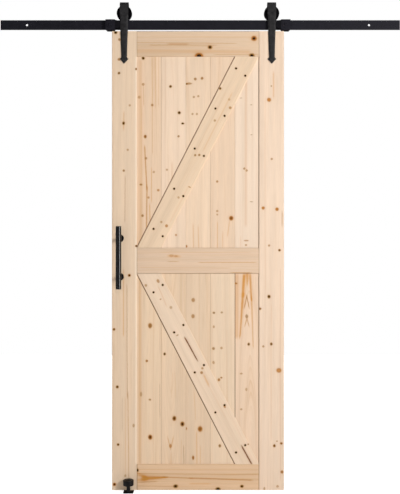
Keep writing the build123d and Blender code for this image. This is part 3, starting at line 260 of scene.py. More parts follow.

# Streaks: (start x, start y, end x, end y, width in mm, gold, brown, width at the end where it differs); a
# negative brown paints a pale line
STREAKS = {
    "left_stile": (
        (124.2, 112.0, 123.8, 130.0, 5, 0.4, 0.0), (125.2, 176.0, 125.0, 222.0, 2.5, 0.35, 0.25),
        (123.6, 270.0, 123.4, 336.0, 5, 0.45, 0.0), (126.8, 285.0, 127.4, 398.0, 2.5, 0.4, 0.25),
        (125.2, 398.0, 125.6, 476.0, 4, 0.25, 0.0), (128.0, 392.0, 128.8, 478.0, 3, 0.45, 0.15),
        (122.2, 398.0, 122.2, 430.0, 2, 0.15, 0.15), (113.0, 36.0, 113.0, 470.0, 3, 0.15, 0.05),
        # painted highlight: a pale line down the stile's inner edge, which the lamp at the right lights
        (136.0, 57.0, 136.0, 464.0, 6, 0.0, -0.6),
    ),
    "right_stile": (
        (273.5, 72.0, 273.5, 98.0, 6, 0.4, 0.0), (282.2, 212.0, 282.2, 226.0, 4, 0.35, 0.2),
        (271.5, 305.0, 271.0, 440.0, 3, 0.2, 0.0), (280.3, 270.0, 280.3, 480.0, 3, 0.2, 0.05),
        (265.0, 100.0, 265.4, 290.0, 4, 0.15, 0.0),
    ),
    "top_rail": (
        (136.0, 42.6, 236.0, 43.4, 2.5, 0.4, 0.1), (150.0, 45.0, 216.0, 45.2, 2.5, 0.4, 0.15),
        (168.0, 44.0, 188.0, 44.2, 6, 0.35, 0.1), (136.0, 50.5, 250.0, 52.0, 14, 0.3, 0.0),
        (215.0, 54.5, 258.0, 54.5, 3, 0.3, 0.1), (150.0, 36.0, 250.0, 36.6, 3, 0.15, 0.0),
    ),
    "middle_rail": (
        (168.0, 256.0, 180.0, 256.4, 9, 0.45, 0.0), (199.0, 262.4, 256.0, 262.2, 3, 0.5, 0.08),
        (168.0, 261.4, 178.0, 261.5, 3, 0.35, 0.15), (231.0, 272.8, 251.0, 272.8, 3, 0.6, 0.1),
        (140.0, 267.5, 230.0, 268.0, 3, 0.2, 0.0), (160.0, 252.5, 250.0, 252.5, 3, 0.15, 0.0),
    ),
    "bottom_rail": (
        (137.5, 474.0, 147.0, 477.4, 12, 0.6, 0.05), (142.0, 478.4, 167.0, 477.2, 19, 0.95, 0.16, 5),
        (137.0, 480.0, 147.0, 479.6, 10, 0.5, 0.0), (163.0, 477.0, 192.0, 478.2, 4, 0.6, 0.15),
        (190.0, 478.0, 252.0, 480.0, 4.5, 0.7, 0.2), (137.0, 473.6, 258.0, 474.6, 3, 0.4, 0.12),
        (137.0, 469.6, 258.0, 470.0, 3, 0.25, 0.05), (138.0, 482.3, 157.0, 481.4, 3, 0.45, 0.2),
        (190.0, 483.6, 210.0, 483.6, 5, 0.35, 0.0), (137.0, 486.0, 176.0, 486.4, 3, 0.2, 0.15),
    ),
    "upper_plank_1": (
        (155.3, 56.0, 155.5, 108.0, 2.2, 0.3, 0.05), (158.6, 56.0, 158.5, 106.0, 2.2, 0.3, 0.05),
        (152.5, 57.0, 152.5, 154.0, 2.2, 0.35, 0.08), (140.3, 60.0, 140.3, 247.0, 16, 0.26, 0.0),
        (143.5, 86.0, 143.7, 106.0, 2.5, 0.3, 0.1), (144.6, 146.0, 147.0, 190.0, 4, 0.75, 0.12),
        (147.0, 186.0, 146.6, 228.0, 4, 0.75, 0.12), (151.5, 168.0, 151.6, 202.0, 3, 0.5, 0.0),
        (149.5, 204.0, 150.6, 236.0, 4, 0.5, 0.0),
    ),
    "upper_plank_2": (
        (172.0, 163.0, 172.0, 182.0, 4, 0.3, 0.0), (165.5, 60.0, 165.8, 240.0, 3, 0.12, 0.0),
    ),
    "upper_plank_3": (
        (193.0, 224.0, 193.6, 248.0, 4, 0.35, 0.0), (198.2, 226.0, 198.8, 248.0, 4, 0.35, 0.0),
    ),
    "upper_plank_4": (
        (217.5, 222.0, 217.6, 248.0, 3, 0.4, 0.0), (222.8, 232.0, 222.8, 248.0, 3, 0.35, 0.0),
        (229.6, 221.0, 227.5, 236.0, 4, 0.4, 0.0),
    ),
    "upper_plank_5": (
        (245.8, 82.0, 245.8, 226.0, 9, 0.25, 0.0), (240.5, 237.0, 240.8, 247.0, 3, 0.25, 0.0),
    ),
    "upper_brace": (
        (232.0, 93.0, 203.0, 151.0, 6, 0.25, 0.0), (226.0, 92.0, 196.0, 151.0, 3, 0.15, 0.0),
        (188.0, 187.0, 170.0, 222.0, 5, 0.15, 0.0),
    ),
    "lower_brace": (
        (184.9, 337.9, 197.4, 360.4, 4.6, 0.8, 0.95, 3.4), (241.8, 446.0, 251.9, 464.4, 5.0, 0.8, 0.9),
        (203.5, 374.0, 209.0, 386.0, 8, 0.45, 0.0), (158.0, 286.0, 166.5, 306.0, 4, 0.3, 0.0),
        (209.0, 386.0, 226.0, 418.0, 4, 0.12, 0.0),
    ),
    "lower_plank_1": (
        (140.2, 276.0, 140.4, 464.0, 10, 0.32, 0.0), (139.0, 276.0, 139.0, 464.0, 3, 0.2, 0.05),
        (153.5, 276.0, 153.5, 464.0, 3, 0.15, 0.0), (160.0, 318.0, 159.9, 352.0, 1.5, 0.1, 0.2),
        (160.0, 384.0, 160.0, 417.0, 1.5, 0.2, 0.4),
    ),
    "lower_plank_2": (
        (167.6, 437.0, 170.3, 449.0, 3.0, 0.5, 0.05), (173.2, 437.0, 170.7, 449.0, 3.0, 0.5, 0.05),
        (183.6, 446.0, 183.9, 464.0, 2, 0.35, 0.35), (171.5, 398.0, 172.6, 372.0, 2.5, 0.2, 0.0),
        (175.6, 398.0, 174.8, 372.0, 2.5, 0.2, 0.0), (181.3, 440.0, 181.0, 464.0, 2.5, 0.25, 0.0),
        (171.0, 452.0, 171.0, 464.0, 4, 0.25, 0.0),
    ),
    "lower_plank_3": (
        (196.5, 432.0, 196.9, 464.0, 5, 0.4, 0.0), (200.5, 446.0, 200.5, 464.0, 4, 0.3, 0.0),
        (199.4, 304.0, 199.0, 400.0, 3, 0.15, 0.0), (194.0, 392.0, 195.5, 420.0, 3, 0.25, 0.0),
    ),
    "lower_plank_4": (
        (212.0, 276.0, 212.0, 464.0, 3, 0.12, 0.0), (227.0, 330.0, 227.0, 464.0, 4, 0.12, 0.0),
    ),
    "lower_plank_5": (
        (236.6, 274.0, 236.2, 338.0, 18, 0.4, 0.0), (244.3, 274.0, 243.2, 296.0, 12, 0.9, 0.0, 11),
        (243.2, 294.0, 239.8, 338.0, 11, 0.85, 0.0, 4), (250.2, 274.0, 251.6, 300.0, 8, 0.8, 0.0, 7),
        (251.6, 298.0, 253.2, 348.0, 7, 0.6, 0.0, 3), (247.3, 272.0, 247.3, 286.0, 14, 0.7, 0.0, 3),
        (246.9, 296.0, 244.4, 308.0, 3.5, 0.7, 0.25), (246.9, 296.0, 249.2, 308.0, 3.5, 0.7, 0.25),
        (247.0, 318.0, 245.0, 326.0, 3.5, 0.6, 0.15), (247.0, 318.0, 249.0, 326.0, 3.5, 0.6, 0.15),
    ),
}

# Boards: (colour, sideways place, depth and drift of the tree's heart, strength of its rings, pattern seed)
BOARDS = {
    "left_stile": ("e5cbaf", 150, 40, 0.012, 0.6, 1),
    "right_stile": ("e5ccb4", -160, 50, -0.010, 0.5, 2),
    "top_rail": ("dbbfa2", 120, 40, 0.020, 0.9, 3),
    "middle_rail": ("dabea3", -130, 50, 0.015, 0.7, 4),
    "bottom_rail": ("debd9b", 110, 40, 0.030, 1.0, 5),
    "upper_plank_1": ("e7caad", -95, 45, 0.020, 0.9, 6),
    "upper_plank_2": ("ebd1b7", 85, 50, -0.015, 0.6, 7),
    "upper_plank_3": ("e9ceb2", -80, 45, 0.020, 0.7, 8),
    "upper_plank_4": ("e5c9ad", 90, 60, 0.015, 0.6, 9),
    "upper_plank_5": ("e8d1ba", -100, 60, 0.010, 0.6, 10),
    "lower_plank_1": ("e6cbad", 95, 45, 0.020, 0.8, 11),
    "lower_plank_2": ("e5c9ab", -15, 60, -0.030, 0.7, 12),
    "lower_plank_3": ("e1c6a9", 90, 60, 0.015, 0.7, 13),
    "lower_plank_4": ("e6cdb1", -90, 60, 0.020, 0.6, 14),
    "lower_plank_5": ("e7cbb0", 10, 45, 0.045, 0.8, 15),
    "upper_brace": ("e5caac", 95, 60, 0.010, 0.5, 16),
    "lower_brace": ("e8cfb5", -95, 60, 0.012, 0.5, 17),
}


def colour_setting(name, description, code):
    """A colour in a group of settings, with an sRGB hex code as its default."""
    return bpy.props.FloatVectorProperty(
        name=name, description=description, subtype="COLOR", size=3, min=0, max=1, default=linear(code)
    )


def power_setting(name, description, watts):
    """A lamp's power in a group of settings."""
    return bpy.props.FloatProperty(
        name=name, description=description, subtype="POWER", unit="POWER", min=0, max=2000, default=watts
    )


class BoardSettings(bpy.types.PropertyGroup):
    """Colours and sizes of the pine."""

    latewood: colour_setting("Latewood", "Colour of the dark part of each year ring", "c4945a")
    resin: colour_setting("Resin streak", "Colour of the gold and orange streaks along the grain", "cc8d3f")
    red_knot: colour_setting("Red knot", "Colour of a sound, resinous knot", "a6641e")
    brown_knot: colour_setting("Brown knot", "Colour of an old knot's body", "86682c")
    dead_knot: colour_setting("Dead knot", "Colour of a dark, loose knot and of cracks", "2a1608")
    pitch: colour_setting("Pitch", "Colour of the brown cracks and pitch lines", "64300f")
    # only a streak with negative brown takes this colour: the painted highlight on the left stile's inner
    # edge
    pale: colour_setting("Pale streak", "Colour of the light streaks", "fbe8d2")
    glow: colour_setting("Knot surround", "Colour of the resin in the wood round a knot", "c98a3a")
    # dark joints between boards, and painted shadow beside the proud braces and the right stile
    joint_and_shade: colour_setting("Crease", "Colour in the joints between boards", "6e3a14")
    ring_spacing: bpy.props.FloatProperty(
        name="Ring spacing",
        description="Distance between year rings",
        subtype="DISTANCE",
        unit="LENGTH",
        min=0.001,
        max=0.02,
        default=0.0026,
    )


class MetalSettings(bpy.types.PropertyGroup):
    """Colours and grain of the black metal."""

    powder_coat: colour_setting("Powder coat", "Colour of the satin black on the track and stops", "1e1d23")
    waxed: colour_setting("Waxed steel", "Colour of the blackened and waxed hanger straps", "2b2a2b")
    enamel: colour_setting("Enamel", "Colour of the handle, wheels and floor guide", "070609")
    grit: bpy.props.FloatProperty(
        name="Coat grain",
        description="Width of the bumps in the powder coat",
        subtype="DISTANCE",
        unit="LENGTH",
        min=0.0002,
        max=0.005,
        default=0.0012,
    )


class StageSettings(bpy.types.PropertyGroup):
    """Camera, lamps and floor."""

    key_power: power_setting("Key light", "Power of the lamp at the right", 134)
    fill_power: power_setting("Fill light", "Power of the broad lamp at the left", 45)
    back_power: power_setting("Back light", "Power of the broad lamp behind the door", 110)
    shine_power: power_setting("Highlight", "Power of the right lamp that only glossy things show", 80)
    strip_power: power_setting("Strip light", "Power of the narrow upright lamp at the left", 6)
    floor: colour_setting("Floor", "Colour of the floor", "f4f4f4")


class DoorSettings(bpy.types.PropertyGroup):
    """All settings of the door."""

    boards: bpy.props.PointerProperty(type=BoardSettings)
    metal: bpy.props.PointerProperty(type=MetalSettings)
    stage: bpy.props.PointerProperty(type=StageSettings)


def board_frame(node):
    """A board's middle in millimetres and the angle of its grain from upright, about the y axis."""
    low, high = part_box(node)
    middle = [(a + b) / 2 / MM for a, b in zip(low, high)]
    if node.endswith("rail"):
        return middle, math.pi / 2
    if node.endswith("brace"):
        run = high[0] - low[0] - BRACE_END * MM
        return middle, math.atan2(run, (high[2] - low[2]) * (1 if node == "upper_brace" else -1))
    return middle, 0.0


def turned(node, x, z):
    """A place of the door in a board: millimetres across and along its grain."""
    middle, angle = board_frame(node)
    x, z = x - middle[0], z - middle[2]
    return x * math.cos(angle) - z * math.sin(angle), x * math.sin(angle) + z * math.cos(angle)


def in_board(node, px, py):
    """A pixel's place in a board: millimetres across and along its grain."""
    return turned(node, *on_door(px, py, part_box(node)[0][1] / MM if "plank" in node else 0.0))


def threes(rows, empty):
    """Rows in sets of three, the last filled up with empty ones, turned so that each column is a triple."""
    rows = list(rows) + [empty] * (-len(rows) % 3)
    return [tuple(zip(*rows[i : i + 3])) for i in range(0, len(rows), 3)]


def stretched(tree, place, size, seed, output=0):
    """Noise whose patches are so many millimetres across and along the grain."""
    across, along = size
    sized = vector_node(tree, "MULTIPLY", place, (1 / across, 1 / across, 1 / along))
    noise = {"Vector": sized, "W": seed * BOARD_STEP, "Scale": 1, "Detail": 2, "Roughness": 0.5}
    return add(tree, "ShaderNodeTexNoise", noise, output, noise_dimensions="4D")


def ramp(tree, value, low, high, start=0.0, end=1.0):
    """A value between two limits taken to a range between two others, and held there."""
    return add(tree, "ShaderNodeMapRange", {0: value, 1: low, 2: high, 3: start, 4: end})


def spread(tree, noise, start, end):
    """A noise value's usual range taken to a range between two limits."""
    return ramp(tree, noise, NOISE_LOW, NOISE_HIGH, start, end)


def held(tree, triple):
    """A triple of values, each held between 0 and 1."""
    return vector_node(tree, "MINIMUM", vector_node(tree, "MAXIMUM", triple, (0, 0, 0)), (1, 1, 1))


def scaled(tree, triple, factor, shift):
    """A triple of values, each times a factor and plus a shift."""
    return vector_node(tree, "MULTIPLY_ADD", triple, (factor,) * 3, (shift,) * 3)


def started(name):
    """A new material and its empty node tree."""
    material = bpy.data.materials.new(name)
    material.use_nodes = True
    tree = material.node_tree
    tree.nodes.clear()
    return material, tree


def finished(tree, shader):
    """Link a shader to the material's output."""
    output = tree.nodes.new("ShaderNodeOutputMaterial")
    tree.links.new(shader, output.inputs[0])


def skin(mirror):
    """The sockets of a coat, with how strongly it mirrors: 0.5 is smooth lacquer."""
    return {"IOR": COAT_IOR, "Specular IOR Level": mirror}


def summed(tree, total, triple, shares):
    """A total to which a triple's parts are added, each times its share."""
    return math_node(tree, "ADD", total, vector_node(tree, "DOT_PRODUCT", triple, shares, output=1))


def joints_and_shade_lines(node):
    """Dark lines where a board meets its neighbour and along the door's top edge, and painted shadows
    beside a proud brace or stile: (place, outward normal, width, strength).

    The place and the normal are (x, z) on the door, in millimetres. A line lies on the normal's side of
    the place.
    """
    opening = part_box("right_stile")[0][0] / MM
    if node.endswith("rail"):
        strength = 0.9 if node == "bottom_rail" else 0.4
        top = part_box("top_rail")[1][2] / MM
        ends = [((side * opening, 0), (-side, 0), 2.4, strength) for side in (-1, 1)]
        return ends + [((0, top), (0, -1), 2.4, 0.8)]
    if node.endswith("stile"):
        return []
    half = node.split("_")[0]
    low, high = [[c / MM for c in corner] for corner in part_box("middle_rail")]
    lines = [((0, high[2]), (0, 1), 2.0, 0.35) if half == "upper" else ((0, low[2]), (0, -1), 3.6, 0.4)]
    # painted shadow of the right stile on the recessed planks; where a brace meets the stile, a dark joint
    lines.append(((opening, 0), (-1, 0), 3.6, 0.5))
    if "plank" in node:
        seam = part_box(node)[0][0] / MM
        width, strength = (3.2, 0.9) if node == "lower_plank_5" else (2.0, 0.3)
        lines.append(((seam, 0), (1, 0), width, strength))
        # painted shadow along a brace's left edge, where it stands proud of the plank
        low, high = [[c / MM for c in corner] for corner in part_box(half + "_brace")]
        rise = (high[2] - low[2]) * (1 if half == "upper" else -1)
        run = high[0] - BRACE_END - low[0]
        slant = math.hypot(rise, run)
        foot = (low[0], low[2] if half == "upper" else high[2])
        lines.append((foot, (-abs(rise) / slant, math.copysign(run / slant, rise)), 4.2, 0.75))
    return lines


def knots_of(node):
    """A board's knots, as their places and the numbers that knot_fields takes.

    A knot covers the wood by its darkness plus 0.12, at most 1. Its core is 1.4 times the darkness less
    0.56, at least 0, and the glow round it is its cover times (0.4 + 1.1 times its redness).
    """
    knots = []
    for px, py, radius, length, darkness, redness in KNOTS.get(node, ()):
        u, w = in_board(node, px, py)
        cover = min(1.0, 0.12 + darkness)
        red, core, glow = cover * redness, max(0.0, 1.4 * darkness - 0.56), cover * (0.4 + 1.1 * redness)
        knots.append((u, -w / length, 1 / length, radius * radius, cover, red, core, glow))
    if node.endswith("brace"):
        # wood stained and dented round each screw
        for low, high in solids(f"{node}_screws"):
            u, w = turned(node, *((low + high) / 2 / MM)[[0, 2]])
            knots.append((u, -w, 1, STAIN_RADIUS * STAIN_RADIUS, 0.9, 0.3, 0.9, 0.3))
    return knots


def knot_fields(tree, node, across, along):
    """Sums over a board's knots, three at a time: how far the grain is bent, and each knot's parts.

    With n = radius squared / distance squared, the grain moves by the distance across times n, held at 1.
    A knot's body is 1.6 n - 0.6 and its dark core 0.65 n - 1, each held at 0 and 1. The glow round it is
    the square of n, held at 1.
    """
    bend, body, red, core, halo, inner = 0.0, 0.0, 0.0, 0.0, 0.0, 0.0
    for u, w, squeeze, square, *shares in threes(knots_of(node), (NOWHERE, 0, 1, 0.01, 0, 0, 0, 0)):
        cover, redness, darkness, glowing = shares
        du = vector_node(tree, "SUBTRACT", across, u)
        dw = vector_node(tree, "MULTIPLY_ADD", along, squeeze, w)
        reach = vector_node(tree, "MULTIPLY_ADD", dw, dw, vector_node(tree, "MULTIPLY", du, du))
        near = vector_node(tree, "DIVIDE", square, reach)
        inside = vector_node(tree, "MINIMUM", near, (1, 1, 1))
        disc = held(tree, scaled(tree, near, 1.6, -0.6))
        pith = held(tree, scaled(tree, near, 0.65, -1.0))
        ring = vector_node(tree, "MULTIPLY", disc, vector_node(tree, "DIVIDE", reach, square))
        bend = summed(tree, bend, vector_node(tree, "MULTIPLY", du, inside), (1, 1, 1))
        body = summed(tree, body, disc, cover)
        red = summed(tree, red, disc, redness)
        core = summed(tree, core, pith, darkness)
        halo = summed(tree, halo, vector_node(tree, "MULTIPLY", inside, inside), glowing)
        inner = summed(tree, inner, ring, (1, 1, 1))
    return bend, math_node(tree, "MINIMUM", body, 1.0), red, core, halo, inner


def streak_fields(tree, node, across, along):
    """Sums over a board's streaks, three at a time: gold stain, and brown pitch, which where negative
    paints a pale highlight.

    At a distance of d widths from its line a streak's strength is 1.5 / (1 + 2.6 d squared) squared, held
    at 1, which is about half at the edge. It fades over its ends.
    """
    streaks = []
    for x0, y0, x1, y1, width, gold, brown, *tip in STREAKS.get(node, ()):
        ends = [(*in_board(node, x0, y0), width), (*in_board(node, x1, y1), tip[0] if tip else width)]
        (u0, w0, first), (u1, w1, last) = sorted(ends, key=lambda end: end[1])
        slope, taper = (u1 - u0) / (w1 - w0), (last - first) / (w1 - w0)
        line = slope, u0 - slope * w0, taper, first - taper * w0
        streaks.append((*line, (w0 + w1) / 2, (w1 - w0) / 2, gold, brown))
    stain, pitch = 0.0, 0.0
    for columns in threes(streaks, (0, NOWHERE, 0, 1, 0, 1, 0, 0)):
        slope, start, taper, width, centre, half, gold, brown = columns
        line = vector_node(tree, "MULTIPLY_ADD", along, slope, start)
        width = vector_node(tree, "MULTIPLY_ADD", along, taper, width)
        width = vector_node(tree, "MAXIMUM", width, (1, 1, 1))
        off = vector_node(tree, "DIVIDE", vector_node(tree, "SUBTRACT", across, line), width)
        band = scaled(tree, vector_node(tree, "MULTIPLY", off, off), 2.6, 1)
        band = vector_node(tree, "DIVIDE", (1.5, 1.5, 1.5), vector_node(tree, "MULTIPLY", band, band))
        band = vector_node(tree, "MINIMUM", band, (1, 1, 1))
        span = vector_node(tree, "ABSOLUTE", vector_node(tree, "SUBTRACT", along, centre))
        ends = [h / STREAK_FADE + 0.5 for h in half]
        span = held(tree, vector_node(tree, "MULTIPLY_ADD", span, (-1 / STREAK_FADE,) * 3, ends))
        band = vector_node(tree, "MULTIPLY", band, span)
        stain = summed(tree, stain, band, gold)
        pitch = summed(tree, pitch, band, brown)
    return stain, pitch


def joint_and_shade_field(tree, node, place, depth):
    """The strongest of a board's dark joint lines and painted shadow lines, only on its front."""
    joint_and_shade = 0.0
    for (x, z), (nx, nz), width, strength in joints_and_shade_lines(node):
        off = vector_node(tree, "DOT_PRODUCT", place, (nx / MM, 0, nz / MM), output=1)
        off = math_node(tree, "ABSOLUTE", math_node(tree, "SUBTRACT", off, x * nx + z * nz + width / 2))
        line = ramp(tree, off, width / 2 - JOINT_AND_SHADE_FADE[0], width / 2 + JOINT_AND_SHADE_FADE[1], strength, 0.0)
        joint_and_shade = math_node(tree, "MAXIMUM", joint_and_shade, line)
    return math_node(tree, "MULTIPLY", joint_and_shade, ramp(tree, depth, -1, 1, 1.0, 0.0))


def pine(node, settings):
    """Oiled knotty pine, planed: pale yellow-white with soft darker year rings that run round brown knots.

    The rings are circles round the tree's heart, which lies behind or beside the face and drifts along
    the board, so that the face cuts them in long lines and arches. A place's distance across is bent
    round each knot as water flows round a post. Inside a knot the rings are circles round its own middle.
    """
    tone, heart_x, heart_depth, drift, figure, seed = BOARDS[node]
    middle, angle = board_frame(node)
    material, tree = started(f"oiled_pine_{node}")
    place = add(tree, "ShaderNodeTexCoord", output=3)
    local = {0: place, 1: [c * MM for c in middle], 2: (0, angle, 0), 3: (MM, MM, MM)}
    local = add(tree, "ShaderNodeMapping", local, vector_type="TEXTURE")
    # small wobbles keep outlines from looking drawn
    wobble = stretched(tree, local, WOBBLE_SIZE, seed, output=1)
    centred = vector_node(tree, "SUBTRACT", local, [reach / 2 for reach in WOBBLE_REACH])
    wobbled = vector_node(tree, "MULTIPLY_ADD", wobble, WOBBLE_REACH, centred)
    across, depth, along = (add(tree, "ShaderNodeSeparateXYZ", {0: wobbled}, i) for i in range(3))
    bend, body, red, core, halo, inner = knot_fields(tree, node, across, along)

    # the grain flows round the knots, in slow waves
    wave = math_node(tree, "SUBTRACT", stretched(tree, local, WAVE_SIZE, seed), 0.5)
    flow = math_node(tree, "MULTIPLY_ADD", wave, WAVE_REACH, math_node(tree, "SUBTRACT", across, bend))

    # year rings: narrow dark latewood after a slow rise, and a sharp end
    side = math_node(tree, "SUBTRACT", flow, heart_x)
    back = math_node(tree, "ADD", math_node(tree, "MULTIPLY_ADD", along, drift, heart_depth), depth)
    ring = math_node(tree, "MULTIPLY_ADD", side, side, math_node(tree, "MULTIPLY", back, back))
    ring = math_node(tree, "SQRT", ring)
    swell = {"W": math_node(tree, "MULTIPLY", ring, 1 / RING_SWELL), "Scale": 1, "Detail": 1}
    swell = add(tree, "ShaderNodeTexNoise", swell, noise_dimensions="1D")
    turn = math_node(tree, "MULTIPLY", ring, MM / settings.ring_spacing)
    part = math_node(tree, "FRACT", math_node(tree, "MULTIPLY_ADD", swell, RING_SWING, turn))
    fall = ramp(tree, part, RING_DARKEST, 1.0, 1.0, 0.0)
    late = math_node(tree, "MULTIPLY", math_node(tree, "POWER", part, 2.0), fall)

    # bunches of rings, long soft patches of tone, fibres, the streaks, and the dark joints and painted
    # shadows
    bunch = [math_node(tree, "MULTIPLY", way, 1 / size) for way, size in zip((ring, along), BUNCH_SIZE)]
    bunch = add(tree, "ShaderNodeCombineXYZ", dict(enumerate([*bunch, seed * BUNCH_STEP])))
    bunch = add(tree, "ShaderNodeTexNoise", {"Vector": bunch, "Scale": 1, "Detail": 3, "Roughness": 0.6})
    patch = stretched(tree, local, PATCH_SIZE, seed + PATCH_SEED)
    fibre = stretched(tree, wobbled, FIBRE_SIZE, seed)
    lean = math_node(tree, "MULTIPLY_ADD", wave, STREAK_SWAY, across)
    stain, pitch = streak_fields(tree, node, lean, along)
    joint_and_shade = joint_and_shade_field(tree, node, place, depth)

    # colour, from the wood's tone to the knots' dark hearts
    gold = rgba(settings.latewood)
    colour = vector_node(tree, "MULTIPLY", linear(tone), spread(tree, patch, 0.94, 1.05))
    share = math_node(tree, "MULTIPLY", late, ramp(tree, bunch, 0.35, 0.75, 0.08 * figure, 0.5 * figure))
    colour = blend(tree, share, colour, gold)
    colour = blend(tree, ramp(tree, bunch, 0.52, 0.78, 0.0, 0.3 * figure), colour, gold)
    share = math_node(tree, "MULTIPLY", stain, spread(tree, fibre, 0.7, 1.25))
    colour = blend(tree, share, colour, rgba(settings.resin))
    colour = blend(tree, pitch, colour, rgba(settings.pitch))
    # a negative brown paints a pale line: the painted highlight on the left stile's inner edge
    colour = blend(tree, math_node(tree, "MULTIPLY", pitch, -1.0), colour, rgba(settings.pale))
    # dark joints, and painted shadow beside the proud braces and the right stile
    colour = blend(tree, joint_and_shade, colour, rgba(settings.joint_and_shade))
    colour = blend(tree, math_node(tree, "MULTIPLY", halo, 0.9), colour, rgba(settings.glow))
    heart = math_node(tree, "DIVIDE", red, math_node(tree, "MAXIMUM", body, 0.01))
    heart = blend(tree, heart, rgba(settings.brown_knot), rgba(settings.red_knot))
    rings = add(tree, "ShaderNodeTexNoise", {"W": inner, "Scale": 5, "Detail": 1}, noise_dimensions="1D")
    heart = vector_node(tree, "MULTIPLY", heart, spread(tree, rings, 0.75, 1.15))
    colour = blend(tree, body, colour, heart)
    colour = blend(tree, math_node(tree, "MULTIPLY", core, 1.3), colour, rgba(settings.dead_knot))
    colour = vector_node(tree, "MULTIPLY", colour, spread(tree, fibre, 0.95, 1.04))

    # surface: the planed latewood stands a little proud, and a knot's dark heart is cracked and dull
    height = math_node(tree, "MULTIPLY_ADD", core, -1.5, math_node(tree, "MULTIPLY_ADD", late, 0.5, fibre))
    normal = add(tree, "ShaderNodeBump", {"Strength": 0.35, "Distance": 0.12 * MM, "Height": height})
    mirror = math_node(tree, "MULTIPLY_ADD", math_node(tree, "MINIMUM", core, 1.0), -0.24, 0.25)
    sockets = {"Base Color": colour, "Roughness": 0.6, "Normal": normal, **skin(mirror)}
    finished(tree, add(tree, "ShaderNodeBsdfPrincipled", sockets))
    return material


def plain(name, colour, roughness, grain, depth, mottle=0.1, patch=0.025, **sockets):
    """A coated or moulded surface, in metres.

    It has fine bumps of one grain width and depth, and faint broad patches in tone and gloss.
    """
    material, tree = started(name)
    place = add(tree, "ShaderNodeTexCoord", output=3)
    fine = {"Vector": place, "Scale": 1 / grain, "Detail": 2, "Roughness": 0.55}
    fine = add(tree, "ShaderNodeTexNoise", fine)
    broad = add(tree, "ShaderNodeTexNoise", {"Vector": place, "Scale": 1 / patch, "Detail": 3})
    tone, patchy = (spread(tree, noise, 1 - mottle, 1 + mottle) for noise in (fine, broad))
    tone = math_node(tree, "MULTIPLY", tone, patchy)
    sockets["Base Color"] = vector_node(tree, "MULTIPLY", tuple(colour[:3]), tone)
    sockets["Roughness"] = spread(tree, broad, roughness * 0.9, roughness * 1.1)
    sockets["Normal"] = add(tree, "ShaderNodeBump", {"Strength": 0.5, "Distance": depth, "Height": fine})
    finished(tree, add(tree, "ShaderNodeBsdfPrincipled", sockets))
    return material


def paint(material, *names):
    """Give CAD nodes a material."""
    for name in names:
        mesh = NODES[name].data
        mesh.materials.clear()
        mesh.materials.append(material)


def solids(node):
    """The lowest and highest corners of each separate solid of a node."""
    mesh = NODES[node].data
    points = np.empty(len(mesh.vertices) * 3, np.float32)
    mesh.vertices.foreach_get("co", points)
    points = points.reshape(-1, 3)
    edges = np.empty(len(mesh.edges) * 2, np.int32)
    mesh.edges.foreach_get("vertices", edges)
    _, same = np.unique(np.round(points, 6), axis=0, return_inverse=True)
    same = same.reshape(-1)
    start, end = same[edges].reshape(-1, 2).T
    label = np.arange(same.max() + 1)
    while True:
        least = np.minimum(label[start], label[end])
        joined = label.copy()
        np.minimum.at(joined, start, least)
        np.minimum.at(joined, end, least)
        if (joined == label).all():
            break
        label = joined
    groups = [points[label[same] == k] for k in np.unique(label)]
    return [(group.min(0), group.max(0)) for group in groups]


def surface(name, sheets, material, body):
    """A smooth piece from sheets of points, an array of sheet by row by column by 3, in metres."""
    count, rows, columns, _ = sheets.shape
    corner = np.arange(count * rows * columns).reshape(count, rows, columns)
    quads = np.stack(
        [corner[:, :-1, :-1], corner[:, 1:, :-1], corner[:, 1:, 1:], corner[:, :-1, 1:]], axis=-1
    ).reshape(-1, 4)
    mesh = bpy.data.meshes.new(name)
    mesh.from_pydata(sheets.reshape(-1, 3), [], quads)
    mesh.polygons.foreach_set("use_smooth", np.ones(len(quads), bool))
    mesh.materials.append(material)
    piece = bpy.data.objects.new(name, mesh)
    bpy.context.scene.collection.objects.link(piece)
    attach(piece, body)


def screw_faces(heads, dome, pit, arm, arm_length):
    """Domed discs with a cross sunk in them, one before each head, in metres.

    A square grid (u, v) from -1 to 1 becomes a disc: x = u sqrt(1 - v v / 2), z = v sqrt(1 - u u / 2).
    The face rises by dome (1 - x x - z z) and falls by pit inside the cross.
    """
    line = np.linspace(-1, 1, FACE_POINTS)
    u, v = np.meshgrid(line, line, indexing="ij")
    x, z = u * np.sqrt(1 - v * v / 2), v * np.sqrt(1 - u * u / 2)
    cross = (np.minimum(np.abs(x), np.abs(z)) < arm) & (np.maximum(np.abs(x), np.abs(z)) < arm_length)
    rise = np.maximum(FACE_RIM + dome * (1 - x * x - z * z) - pit * cross, FACE_LEAST)
    sheets = []
    for low, high in heads:
        middle, radius = (low + high) / 2, (high[0] - low[0]) / 2 * FACE_SHARE
        sheets.append(np.stack([middle[0] + radius * x, low[1] - rise, middle[2] + radius * z], -1))
    return np.array(sheets)


def thread(tails, pitch):
    """Screw threads round rods that lie along y, in metres: (x, z, radius, start, end) each.

    The radius at an angle a and a place s along the rod is the rod's own plus the thread's height times a
    triangle wave of s / pitch - a / 2 pi, less the share that lies in the rod.
    """
    angle = np.linspace(0, 2 * math.pi, THREAD_ROUND)
    sheets = []
    for x, z, radius, start, end in tails:
        along = np.linspace(start, end, THREAD_ALONG)[:, None]
        wave = np.abs(((along - start) / pitch - angle / (2 * math.pi)) % 1 - 0.5) * 2
        reach = radius + THREAD_HEIGHT * pitch * (wave - THREAD_SUNK)
        sheet = [x + reach * np.cos(angle), along + 0 * angle, z + reach * np.sin(angle)]
        sheets.append(np.stack(sheet, -1))
    return np.array(sheets)


class DOOR_OT_boards(bpy.types.Operator):
    """Give each board its own pine, with its own rings, knots and streaks"""

    bl_idname = "barn_door.boards"
    bl_label = "Pine boards"

    def execute(self, context):
        for node in BOARDS:
            paint(pine(node, context.scene.barn_door.boards), node)
        return {"FINISHED"}


